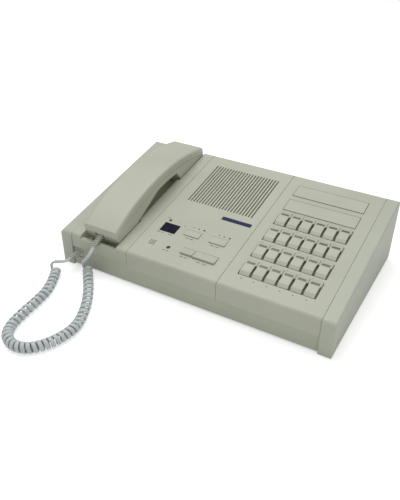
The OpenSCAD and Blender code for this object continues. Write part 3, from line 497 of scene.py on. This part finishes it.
# ---------------------------------------------------------------------------
# The display: a small panel of very dark blue acrylic that stands a little
# proud of its recess, with a moulded rim that catches the light.
# ---------------------------------------------------------------------------
DISPLAY_ROUND = 0.3 * MM
navy_acrylic = mottled(
    "navy_acrylic", (0.004, 0.006, 0.017), (0.007, 0.010, 0.027),
    scale=60.0, gloss=(0.10, 0.18), grain=(300.0, 0.02), shine=0.16,
)
display_bm = merged_copy("display_window")
soften(display_bm, long_edge, DISPLAY_ROUND)
placed("display_glass", display_bm, navy_acrylic, "console", "window_plastic", "display_window")

# ---------------------------------------------------------------------------
# The badge plate: a bare strip of navy anodised aluminium, set in a shallow
# recess under the grille and glued there.
# ---------------------------------------------------------------------------
BADGE_ROUND = 0.25 * MM
badge_anodised = mottled(
    "badge_anodised", (0.007, 0.011, 0.055), (0.011, 0.016, 0.078),
    scale=90.0, gloss=(0.3, 0.42), grain=(2200.0, 0.06), shine=0.2,
)
badge_bm = merged_copy("badge_plate")
soften(badge_bm, long_edge, BADGE_ROUND)
placed("badge_strip", badge_bm, badge_anodised, "console", "badge_paint", "badge_plate")

# ---------------------------------------------------------------------------
# The lamps: moulded lenses pushed up through round holes, and a flat window
# behind each key. They are unlit: the round ones smoky, the windows olive.
# ---------------------------------------------------------------------------

# The lamps further right than this, from CORNER, are the keys' olive windows.
KEYPAD_SIDE = 0.223
SMOKY = (0.012, 0.016, 0.010, 1)


def tinted_up_to(material, colour, limit):
    """Give a material a plain colour wherever X is below a limit."""
    tree = material.node_tree
    shader = tree.nodes["Principled BSDF"]
    tint = shader.inputs["Base Color"].links[0].from_socket
    place = tree.nodes.new("ShaderNodeSeparateXYZ")
    tree.links.new(tree.nodes["Texture Coordinate"].outputs["Object"], place.inputs["Vector"])
    beyond = tree.nodes.new("ShaderNodeMath")
    beyond.operation = "GREATER_THAN"
    beyond.inputs[1].default_value = limit
    tree.links.new(place.outputs["X"], beyond.inputs[0])
    mix = tree.nodes.new("ShaderNodeMix")
    mix.data_type = "RGBA"
    mix.inputs["A"].default_value = colour
    tree.links.new(beyond.outputs[0], mix.inputs["Factor"])
    tree.links.new(tint, mix.inputs["B"])
    tree.links.new(mix.outputs["Result"], shader.inputs["Base Color"])


lamp_lens = mottled(
    "smoky_lens", (0.125, 0.130, 0.075), (0.165, 0.172, 0.104),
    scale=300.0, gloss=(0.15, 0.3), grain=(600.0, 0.05),
)
tinted_up_to(lamp_lens, SMOKY, CORNER.x + KEYPAD_SIDE)
dress(lamp_lens, "indicator_lamps")

# ---------------------------------------------------------------------------
# The four function buttons: low ABS wedges that rise to the front, each in
# its own opening. Their upper edges are rounded, and each presses straight in.
# ---------------------------------------------------------------------------
BUTTONS = 4
BUTTON_ROUND = 0.35 * MM
key_abs = mottled(
    "key_abs", (0.490, 0.514, 0.412), (0.532, 0.556, 0.452), scale=26.0, gloss=(0.34, 0.46)
)


def key_cap(node, roundness):
    """Place one key, rounded all over, on the body that it moves with."""
    cap_bm = merged_copy(node)
    soften(cap_bm, every_edge, roundness)
    placed(node + "_cap", cap_bm, key_abs, node, "key_plastic", node)


for number in range(1, BUTTONS + 1):
    key_cap(f"function_button_{number}", BUTTON_ROUND)

# ---------------------------------------------------------------------------
# The key units: a frame with a lamp block behind each key, pushed into the
# keypad. All 24 frames are one dark-gapped moulding in a slightly greyer ABS.
# ---------------------------------------------------------------------------
FRAME_ROUND = 0.22 * MM
frame_abs = mottled(
    "key_frame_abs", (0.440, 0.460, 0.375), (0.485, 0.505, 0.412), scale=20.0, gloss=(0.42, 0.55)
)
frames_bm = merged_copy("key_switches")
soften(frames_bm, every_edge, FRAME_ROUND, 2)
placed("key_frames", frames_bm, frame_abs, "console", "key_housing_plastic", "key_switches")

# ---------------------------------------------------------------------------
# The 24 station keys: rocker-shaped caps with a rolled front slope. Each one
# slides straight down in its frame and springs back.
# ---------------------------------------------------------------------------
STATIONS = 24
STATION_KEY_ROUND = 0.45 * MM
for number in range(1, STATIONS + 1):
    key_cap(f"station_key_{number:02d}", STATION_KEY_ROUND)

# ---------------------------------------------------------------------------
# The label strips: two paper cards lie in long recesses under acrylic covers,
# which are frosted in the colour of the case. The cards are bare of names.
# ---------------------------------------------------------------------------
COVER_ROUND = 0.25 * MM
label_paper = mottled(
    "label_paper", (0.53, 0.545, 0.455), (0.57, 0.585, 0.49),
    scale=70.0, gloss=(0.75, 0.9), grain=(1900.0, 0.25),
)
dress(label_paper, "label_cards")
frosted_acrylic = mottled(
    "frosted_acrylic", (0.480, 0.500, 0.408), (0.518, 0.538, 0.442),
    scale=24.0, gloss=(0.38, 0.46), grain=(900.0, 0.06),
)
covers_bm = merged_copy("label_covers")
soften(covers_bm, long_edge, COVER_ROUND)
placed(
    "label_strip_covers", covers_bm, frosted_acrylic, "console", "cover_plastic", "label_covers"
)

# ---------------------------------------------------------------------------
# The handset: two shells in the same ABS that meet in a fine parting line.
# Two screws from below hold them; receiver and microphone sit in the ears.
# ---------------------------------------------------------------------------

# The parting is an arc about a point CROWN_S up the panel and ARC_H off it.
CROWN_S = 106 * MM
ARC_H = -261.4 * MM
PARTING_RADIUS = 284.9 * MM
PARTING_BAND = 0.4 * MM
PARTING_SPAN = 40 * MM
OUTER_SPAN = 48.5 * MM
UPPER_ROUND = 1.9 * MM
LOWER_ROUND = 1.1 * MM
PARTING_ROUND = 0.45 * MM
shell_end = end_edge("handset_upper_shell")


def at_parting(co):
    """Whether a point lies on the arc where the two shells meet."""
    flat = TO_PANEL @ co
    return abs(math.hypot(flat.y - CROWN_S, flat.z - ARC_H) - PARTING_RADIUS) < PARTING_BAND


def parting_edge(a, b):
    """An edge of the parting, in an end face or across the handset."""
    across = abs(a.x - b.x) > PARTING_SPAN
    return at_parting(a) and at_parting(b) and (shell_end(a, b) or across)


def outer_edge(a, b):
    """An edge clear of the parting, in an end face or across the handset."""
    across = abs(a.x - b.x) > OUTER_SPAN
    return not (at_parting(a) or at_parting(b)) and (shell_end(a, b) or across)


handset_abs = mottled(
    "handset_abs", (0.492, 0.512, 0.416), (0.532, 0.552, 0.452), scale=12.0, gloss=(0.30, 0.42)
)
for half, roundness in (("upper", UPPER_ROUND), ("lower", LOWER_ROUND)):
    node = f"handset_{half}_shell"
    shell_bm = merged_copy(node)
    soften(shell_bm, parting_edge, PARTING_ROUND, 2)
    soften(shell_bm, outer_edge, roundness, 5)
    placed(node + "_moulding", shell_bm, handset_abs, "handset", "handset_plastic", node)
receiver_can = mottled(
    "receiver_can", (0.30, 0.30, 0.29), (0.42, 0.42, 0.40),
    scale=90.0, gloss=(0.3, 0.45), grain=(900.0, 0.12), metal=1.0,
)
insert_can = mottled(
    "insert_can", (0.36, 0.36, 0.34), (0.48, 0.48, 0.46),
    scale=150.0, gloss=(0.3, 0.42), grain=(900.0, 0.12), metal=1.0,
)
dress(receiver_can, "handset_receiver")
dress(insert_can, "handset_microphone")

# ---------------------------------------------------------------------------
# The printed marks: dark ink, 0.02 mm high, on the housings. The keys carry
# plain numbers; dots and short bars stand for the other marks.
# ---------------------------------------------------------------------------

# Places and sizes on the panel are in millimetres here; those with MM are metres.
INK = 0.02
DOT_SIDES = 20
NUMBER_SIZE = 3.0 * MM
KEY_ROWS, KEYS_PER_ROW = 4, 6
KEY_PITCH, ROW_PITCH = 15.5, 31.8
ROW_X, ROW_S = 238.0, 24.0
NUMBER_X, NUMBER_S = ROW_X + 0.9, ROW_S + 26.6
KEY_BAR_X, KEY_BAR_S = ROW_X + 6.3, 18.2
KEY_BAR_WIDTH, KEY_BAR_DEPTH = 1.5, 1.1
COVER_X, COVER_LENGTH, COVER_DEPTH = 238.0, 92.7, 21.8
COVER_PLACES = (150.2, 181.3)
LINE_GAP, LINE_WIDTH = 0.15, 0.55
CONTROL_BAR_DEPTH = 0.8
CONTROL_BARS = (
    (113.6, 48.6, 5.0), (120.4, 48.6, 3.2), (129.5, 48.6, 5.8), (138.0, 22.2, 3.2),
    (142.6, 22.2, 3.6), (152.5, 51.8, 4.2), (158.3, 51.8, 5.2), (187.0, 52.2, 4.4),
    (193.2, 52.2, 5.6), (163.0, 20.4, 4.4), (169.0, 20.4, 4.0), (186.0, 20.0, 5.0),
    (193.0, 20.0, 6.4), (140.0, 70.4, 2.8), (112.8, 76.6, 3.2),
)
CONTROL_DOTS = ((172.0, 60.6, 0.9), (207.5, 61.4, 0.9), (133.5, 73.2, 0.8))
MARKS_MERGE = 0.001 * MM
legend_ink = mottled(
    "legend_ink", (0.030, 0.032, 0.024), (0.055, 0.057, 0.045),
    scale=500.0, gloss=(0.6, 0.75), grain=(2400.0, 0.1),
)
outline_ink = mottled(
    "outline_ink", (0.075, 0.082, 0.055), (0.105, 0.112, 0.078),
    scale=300.0, gloss=(0.6, 0.75), grain=(2400.0, 0.1),
)


def inked_bar(bm, x, s, width, depth):
    """A printed bar with its near left corner at (x, s)."""
    panel_block(bm, (x, s, -INK), (x + width, s + depth, INK))


def inked_dot(bm, x, s, size):
    """A printed round dot, centred at (x, s)."""
    bmesh.ops.create_cone(
        bm,
        cap_ends=True,
        segments=DOT_SIDES,
        radius1=size / 2 * MM,
        radius2=size / 2 * MM,
        depth=2 * INK * MM,
        matrix=PANEL @ Matrix.Translation(Vector((x, s, 0)) * MM),
    )


def inked_number(bm, text, x, s):
    """A plain printed number, with its near left corner at (x, s)."""
    letters = bpy.data.curves.new("number_outline", "FONT")
    letters.body = text
    letters.size = NUMBER_SIZE
    letters.extrude = INK * MM
    letters.resolution_u = 4
    holder = bpy.data.objects.new("number_outline", letters)
    outline = bpy.data.meshes.new_from_object(holder)
    outline.transform(PANEL @ Matrix.Translation(Vector((x, s, 0)) * MM))
    bm.from_mesh(outline)
    bpy.data.meshes.remove(outline)
    bpy.data.objects.remove(holder)
    bpy.data.curves.remove(letters)


keypad_marks = bmesh.new()
for row in range(KEY_ROWS):
    for column in range(KEYS_PER_ROW):
        number = str(row * KEYS_PER_ROW + column + 1)
        x, s = NUMBER_X + KEY_PITCH * column, NUMBER_S + ROW_PITCH * row
        inked_number(keypad_marks, number, x, s)
for column in range(KEYS_PER_ROW):
    x = KEY_BAR_X + KEY_PITCH * column
    inked_bar(keypad_marks, x, KEY_BAR_S, KEY_BAR_WIDTH, KEY_BAR_DEPTH)
bmesh.ops.remove_doubles(keypad_marks, verts=keypad_marks.verts, dist=MARKS_MERGE)
keypad_marks.normal_update()
placed("keypad_marks", keypad_marks, legend_ink, "console", "dark_plastic")

cover_outlines = bmesh.new()
for s in COVER_PLACES:
    left, right = COVER_X - LINE_GAP, COVER_X + COVER_LENGTH + LINE_GAP
    near, far = s - LINE_GAP, s + COVER_DEPTH + LINE_GAP
    span = right - left + 2 * LINE_WIDTH
    inked_bar(cover_outlines, left - LINE_WIDTH, near - LINE_WIDTH, span, LINE_WIDTH)
    inked_bar(cover_outlines, left - LINE_WIDTH, far, span, 2 * LINE_WIDTH)
    inked_bar(cover_outlines, left - LINE_WIDTH, near, LINE_WIDTH, far - near)
    inked_bar(cover_outlines, right, near, LINE_WIDTH, far - near)
cover_outlines.normal_update()
placed("cover_outlines", cover_outlines, outline_ink, "console", "dark_plastic")

control_marks = bmesh.new()
for x, s, width in CONTROL_BARS:
    inked_bar(control_marks, x, s, width, CONTROL_BAR_DEPTH)
for x, s, size in CONTROL_DOTS:
    inked_dot(control_marks, x, s, size)
control_marks.normal_update()
placed("control_marks", control_marks, legend_ink, "console", "dark_plastic")

# ---------------------------------------------------------------------------
# The two plugs: pale PVC mouldings. Each is a flat body that goes into its
# socket and a strain relief outside it, a tapered neck with open ribs.
# ---------------------------------------------------------------------------
PLUG_WIDTH, PLUG_HEIGHT, PLUG_LENGTH = 9 * MM, 6.6 * MM, 12 * MM
PLUG_ROUND = 0.4 * MM
HANDSET_BODY_START, HANDSET_BODY_END = 0.5 * MM, 18.5 * MM
FLANGE_WIDTH, FLANGE_HEIGHT, FLANGE_THICK = 12.4 * MM, 11.4 * MM, 2.0 * MM
FLANGE_SETBACK = 0.8 * MM
FLANGE_ROUND, FLANGE_TOP_ROUND = 0.3 * MM, 2.2 * MM
MOUTH_WIDTH, MOUTH_HEIGHT = 13.9 * MM, 12.9 * MM
MOUTH_START, MOUTH_END = -0.3 * MM, 1.4 * MM
MOUTH_ROUND, MOUTH_TOP_ROUND = 0.1 * MM, 3.0 * MM
BOOT_ROOT = (8.6 * MM, 6.0 * MM)
BOOT_TIP = (5.0 * MM, 3.6 * MM)
BOOT_LENGTH = 19.5 * MM
BOOT_DROOP = math.radians(21)
BOOT_OVERLAP = 1.0 * MM
BOOT_COLLAR = 1.2 * MM
BOOT_PLAIN = 2.2 * MM
BOOT_TIP_ROUND = 0.3 * MM
BOOT_CORNER = 1.2 * MM
CORNER_SHARE = 2.6
CORNER_STEPS = 3
BOOT_RIBS = 6
RIB_GAP = 1.45 * MM
RIB_DEPTH = 1.3 * MM
RIB_BEVEL = 0.12 * MM
SOCKET_AT = Vector((0.0235, 0.0022, 0.0202))
PLUG_AXIS = Vector((0.0552, 0.0095, 0.00171))


def boot_ring(bm, width, height, distance):
    """One rounded rectangle of a boot, square to its length."""
    corner = min(BOOT_CORNER, height / CORNER_SHARE)
    ring = []
    for k, (side_x, side_z) in enumerate(((1, 1), (-1, 1), (-1, -1), (1, -1))):
        for step in range(CORNER_STEPS + 1):
            a = math.pi / 2 * (k + step / CORNER_STEPS)
            x = side_x * (width / 2 - corner) + corner * math.cos(a)
            z = side_z * (height / 2 - corner) + corner * math.sin(a)
            ring.append(bm.verts.new((x, -distance, z)))
    return ring


def ribbed_boot():
    """A tapered boot with grooves between its ribs, from its root to its tip."""
    bm = bmesh.new()
    pitch = (BOOT_LENGTH - BOOT_PLAIN) / BOOT_RIBS
    profile = [(0.0, 0.0)]
    for rib in range(BOOT_RIBS):
        start = BOOT_COLLAR + rib * pitch
        profile += [
            (start, 0.0),
            (start + RIB_BEVEL, RIB_DEPTH),
            (start + RIB_GAP, RIB_DEPTH),
            (start + RIB_GAP + RIB_BEVEL, 0.0),
        ]
    profile += [(BOOT_LENGTH - BOOT_TIP_ROUND, 0.0), (BOOT_LENGTH, BOOT_TIP_ROUND)]
    rings = []
    for distance, inset in profile:
        f = distance / BOOT_LENGTH
        width, height = (
            root + (tip - root) * f - 2 * inset for root, tip in zip(BOOT_ROOT, BOOT_TIP)
        )
        rings.append(boot_ring(bm, width, height, distance))
    edges = []
    for ring in rings:
        for k, vert in enumerate(ring):
            edges.append(bm.edges.new((vert, ring[(k + 1) % len(ring)])))
    bmesh.ops.bridge_loops(bm, edges=edges)
    bm.faces.new(rings[0])
    bm.faces.new(rings[-1])
    return bm


def rounded_block(width, height, start, end, radius, top_radius=0.0):
    """A box along Y with rounded edges; its two upper long edges may be rounder."""
    low = Vector((-width / 2, start, -height / 2))
    high = Vector((width / 2, end, height / 2))
    middle, sizes = (low + high) / 2, high - low
    bm = bmesh.new()
    bmesh.ops.create_cube(
        bm, size=1.0, matrix=Matrix.Translation(middle) @ Matrix.Diagonal((*sizes, 1))
    )
    if top_radius:
        upper = [
            edge
            for edge in bm.edges
            if all(v.co.z > middle.z for v in edge.verts)
            and abs(edge.verts[0].co.y - edge.verts[1].co.y) > SAME
        ]
        bmesh.ops.bevel(
            bm, geom=upper, offset=top_radius, segments=5, profile=0.5, affect="EDGES", material=-1
        )
    rim = [edge for edge in bm.edges if edge.calc_face_angle(0) > SHARP_ANGLE]
    bmesh.ops.bevel(
        bm, geom=rim, offset=radius, segments=2, profile=0.5, affect="EDGES", material=-1
    )
    return bm


def join_parts(*parts):
    """One bmesh of several, each moved to its place."""
    whole = bmesh.new()
    for part, place in parts:
        bmesh.ops.recalc_face_normals(part, faces=part.faces)
        part.transform(place)
        mesh = bpy.data.meshes.new("part")
        part.to_mesh(mesh)
        part.free()
        whole.from_mesh(mesh)
        bpy.data.meshes.remove(mesh)
    whole.normal_update()
    return whole


plug_pvc = mottled(
    "plug_pvc", (0.475, 0.500, 0.445), (0.52, 0.545, 0.485),
    scale=60.0, gloss=(0.4, 0.55), grain=(1700.0, 0.12),
)

at_socket = Matrix.Translation(CORNER + SOCKET_AT)
mouth_block = rounded_block(
    MOUTH_WIDTH, MOUTH_HEIGHT, MOUTH_START, MOUTH_END, MOUTH_ROUND, MOUTH_TOP_ROUND
)
mouth = join_parts((mouth_block, at_socket))
placed("socket_mouth", mouth, dark_abs, "console", "dark_plastic")

console_body = rounded_block(PLUG_WIDTH, PLUG_HEIGHT, 0, PLUG_LENGTH, PLUG_ROUND)
flange = rounded_block(
    FLANGE_WIDTH,
    FLANGE_HEIGHT,
    -FLANGE_SETBACK,
    FLANGE_THICK - FLANGE_SETBACK,
    FLANGE_ROUND,
    FLANGE_TOP_ROUND,
)
console_plug = join_parts(
    (console_body, at_socket), (flange, at_socket), (ribbed_boot(), at_socket)
)
placed(
    "console_plug_moulding", console_plug, plug_pvc, "console", "plug_plastic", "plug_console"
)

at_handset = PANEL @ Matrix.Translation(PLUG_AXIS)
at_boot = (
    at_handset @ Matrix.Rotation(BOOT_DROOP, 4, "X") @ Matrix.Translation((0, BOOT_OVERLAP, 0))
)
handset_body = rounded_block(
    PLUG_WIDTH, PLUG_HEIGHT, HANDSET_BODY_START, HANDSET_BODY_END, PLUG_ROUND
)
handset_plug = join_parts((handset_body, at_handset), (ribbed_boot(), at_boot))
placed(
    "handset_plug_moulding", handset_plug, plug_pvc, "handset", "plug_plastic", "plug_handset"
)

# ---------------------------------------------------------------------------
# The curly cord: a flat PVC cord, wound in close curls, that lies on the
# table in a loop. A plain lead at each end runs up into a plug. It is one
# unbroken strip.
# ---------------------------------------------------------------------------
CORD_WIDTH = 0.0047
CORD_THICKNESS = 0.0024
SECTION_POINTS = 14
CURL_DIAMETER = 0.0127
CURLS = 47.5
CURL_START = math.pi
RINGS_PER_CURL = 20
FIRST_LIFT = 0.005
LIFTED_CURLS = 1.3
TABLE_GAP = 0.00005
AXIS_STEP, CURL_STEP = 0.02, 0.005
LEAD_RINGS = 48
LEAD_RUN, CURL_RUN = 0.003, 0.0025
BOOT_BITE = 0.00001
CURL_ROUTE = [
    (0.0425, -0.0065), (0.0565, -0.023), (0.073, -0.043), (0.0875, -0.065), (0.0985, -0.0885),
    (0.102, -0.1065), (0.0995, -0.1245), (0.0925, -0.141), (0.081, -0.154), (0.065, -0.1585),
    (0.0485, -0.1515), (0.0395, -0.1365), (0.0355, -0.1145), (0.0335, -0.091), (0.030, -0.0685),
    (0.021, -0.047), (0.0105, -0.029),
]
HANDSET_LEAD = [(0.0545, -0.0145, 0.035), (0.0495, -0.0155, 0.028), (0.0435, -0.0145, 0.0215)]
CONSOLE_LEAD = [(0.0185, -0.0235, 0.0185), (0.012, -0.0245, 0.0165), (0.0055, -0.0255, 0.0145)]


def along(points, u):
    """A smooth curve through points, with u from 0 to the last one's number."""
    i = min(int(u), len(points) - 2)
    t = u - i
    b, c = points[i], points[i + 1]
    a = points[i - 1] if i > 0 else 2 * b - c
    d = points[i + 2] if i < len(points) - 2 else 2 * c - b
    return (
        2 * b + (c - a) * t + (2 * a - 5 * b + 4 * c - d) * t**2
        + (3 * b - a - 3 * c + d) * t**3
    ) / 2


ROUTE = [Vector((x, y, 0)) for x, y in CURL_ROUTE]
LAST = len(ROUTE) - 1
CURL_RADIUS = (CURL_DIAMETER - CORD_THICKNESS) / 2


def curl_axis(u):
    """The middle of the curls, which starts a little higher than it lies."""
    rise = FIRST_LIFT * max(0.0, 1 - u * CURLS / LAST / LIFTED_CURLS) ** 2
    return along(ROUTE, u) + Vector((0, 0, CURL_DIAMETER / 2 + TABLE_GAP + rise))


def curl_outward(u):
    """The way out from the middle of the curls to the cord itself."""
    before, after = curl_axis(max(u - AXIS_STEP, 0)), curl_axis(min(u + AXIS_STEP, LAST))
    ahead = (after - before).normalized()
    side = Vector((0, 0, 1)).cross(ahead).normalized()
    up = ahead.cross(side)
    turn = CURL_START + 2 * math.pi * CURLS * u / LAST
    return math.cos(turn) * side + math.sin(turn) * up


def curl_point(u):
    """A point on the curled cord's centreline."""
    return curl_axis(u) + CURL_RADIUS * curl_outward(u)


def curl_ahead(u):
    """The way that the curled cord runs on from a point."""
    before, after = curl_point(max(u - CURL_STEP, 0)), curl_point(min(u + CURL_STEP, LAST))
    return (after - before).normalized()


def lead_stations(points, out_start, out_end):
    """Points along a plain lead, each with the way that its flat side faces."""
    end = len(points) - 1
    fractions = [i / LEAD_RINGS for i in range(LEAD_RINGS + 1)]
    return [(along(points, end * f), out_start.lerp(out_end, f)) for f in fractions]


boot_way = PANEL.to_3x3() @ Vector((0, -math.cos(BOOT_DROOP), -math.sin(BOOT_DROOP)))
boot_up = PANEL.to_3x3() @ Vector((0, -math.sin(BOOT_DROOP), math.cos(BOOT_DROOP)))
handset_exit = PANEL @ PLUG_AXIS - CORNER + (BOOT_LENGTH - BOOT_OVERLAP) * boot_way
console_exit = SOCKET_AT + Vector((0, BOOT_BITE - BOOT_LENGTH, 0))
curl_in = curl_point(0) - CORD_WIDTH * curl_ahead(0)
curl_off = curl_point(LAST) + CORD_WIDTH * curl_ahead(LAST)


def cord_stations():
    """The whole cord's centreline and facing, from the handset to the console."""
    from_handset = (
        [handset_exit, handset_exit + LEAD_RUN * boot_way]
        + [Vector(p) for p in HANDSET_LEAD]
        + [curl_in - LEAD_RUN * curl_ahead(0), curl_in]
    )
    to_console = (
        [curl_off, curl_off + CURL_RUN * curl_ahead(LAST)]
        + [Vector(p) for p in reversed(CONSOLE_LEAD)]
        + [console_exit + Vector((0, -LEAD_RUN, 0)), console_exit]
    )
    rings = round(CURLS * RINGS_PER_CURL)
    stations = lead_stations(from_handset, boot_up, curl_outward(0))
    stations += [
        (curl_point(LAST * i / rings), curl_outward(LAST * i / rings)) for i in range(rings + 1)
    ]
    stations += lead_stations(to_console, curl_outward(LAST), Vector((0, 0, 1)))
    return [(CORNER + point, outward) for point, outward in stations]


def flat_section():
    """The cord's cross-section: a strip with two round edges."""
    half_flat = CORD_WIDTH / 2 - CORD_THICKNESS / 2
    section = []
    for k in range(SECTION_POINTS):
        a = 2 * math.pi * k / SECTION_POINTS
        across = math.copysign(half_flat, math.cos(a)) + CORD_THICKNESS / 2 * math.cos(a)
        section.append((across, CORD_THICKNESS / 2 * math.sin(a)))
    return section


def swept_cord(name):
    """The cord as one closed strip, with the points of its centreline."""
    stations = cord_stations()
    section = flat_section()
    bm = bmesh.new()
    rings = []
    for i, (point, outward) in enumerate(stations):
        before = stations[max(i - 1, 0)][0]
        after = stations[min(i + 1, len(stations) - 1)][0]
        ahead = (after - before).normalized()
        out = (outward - outward.dot(ahead) * ahead).normalized()
        side = ahead.cross(out)
        rings.append([bm.verts.new(point + side * a + out * b) for a, b in section])
    for low, high in zip(rings, rings[1:]):
        for k in range(len(section)):
            n = (k + 1) % len(section)
            bm.faces.new((low[k], low[n], high[n], high[k]))
    bm.faces.new(list(reversed(rings[0])))
    bm.faces.new(rings[-1])
    bmesh.ops.recalc_face_normals(bm, faces=bm.faces)
    mesh = bpy.data.meshes.new(name)
    bm.to_mesh(mesh)
    bm.free()
    mesh.shade_smooth()
    piece = bpy.data.objects.new(name, mesh)
    bpy.context.scene.collection.objects.link(piece)
    return piece, [tuple(point) for point, outward in stations]


def cord_plastic():
    """Pale blue-grey soft PVC with a slight sheen and faint handling marks."""
    material, tree, shader = shader_tree("cord_pvc")
    place = tree.nodes.new("ShaderNodeTexCoord")
    marks = new_node(tree, "ShaderNodeTexNoise", Scale=90.0, Detail=5.0)
    tree.links.new(place.outputs["Object"], marks.inputs["Vector"])
    tint = tree.nodes.new("ShaderNodeValToRGB")
    tint.color_ramp.elements[0].position = 0.3
    tint.color_ramp.elements[0].color = (0.545, 0.590, 0.600, 1)
    tint.color_ramp.elements[1].position = 0.7
    tint.color_ramp.elements[1].color = (0.605, 0.650, 0.655, 1)
    tree.links.new(marks.outputs["Fac"], tint.inputs["Fac"])
    tree.links.new(tint.outputs["Color"], shader.inputs["Base Color"])
    shader.inputs["Roughness"].default_value = 0.42
    grain = new_node(tree, "ShaderNodeTexNoise", Scale=1500.0, Detail=2.0)
    tree.links.new(place.outputs["Object"], grain.inputs["Vector"])
    bump = new_node(tree, "ShaderNodeBump", Strength=0.12, Distance=0.0002)
    tree.links.new(grain.outputs["Fac"], bump.inputs["Height"])
    tree.links.new(bump.outputs["Normal"], shader.inputs["Normal"])
    return material


pvc = cord_plastic()
cord, cord_path = swept_cord("curly_cord")
cord.data.materials.append(pvc)
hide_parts("cord_lead_handset", "cord_curls", "cord_lead_console")
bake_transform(cord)
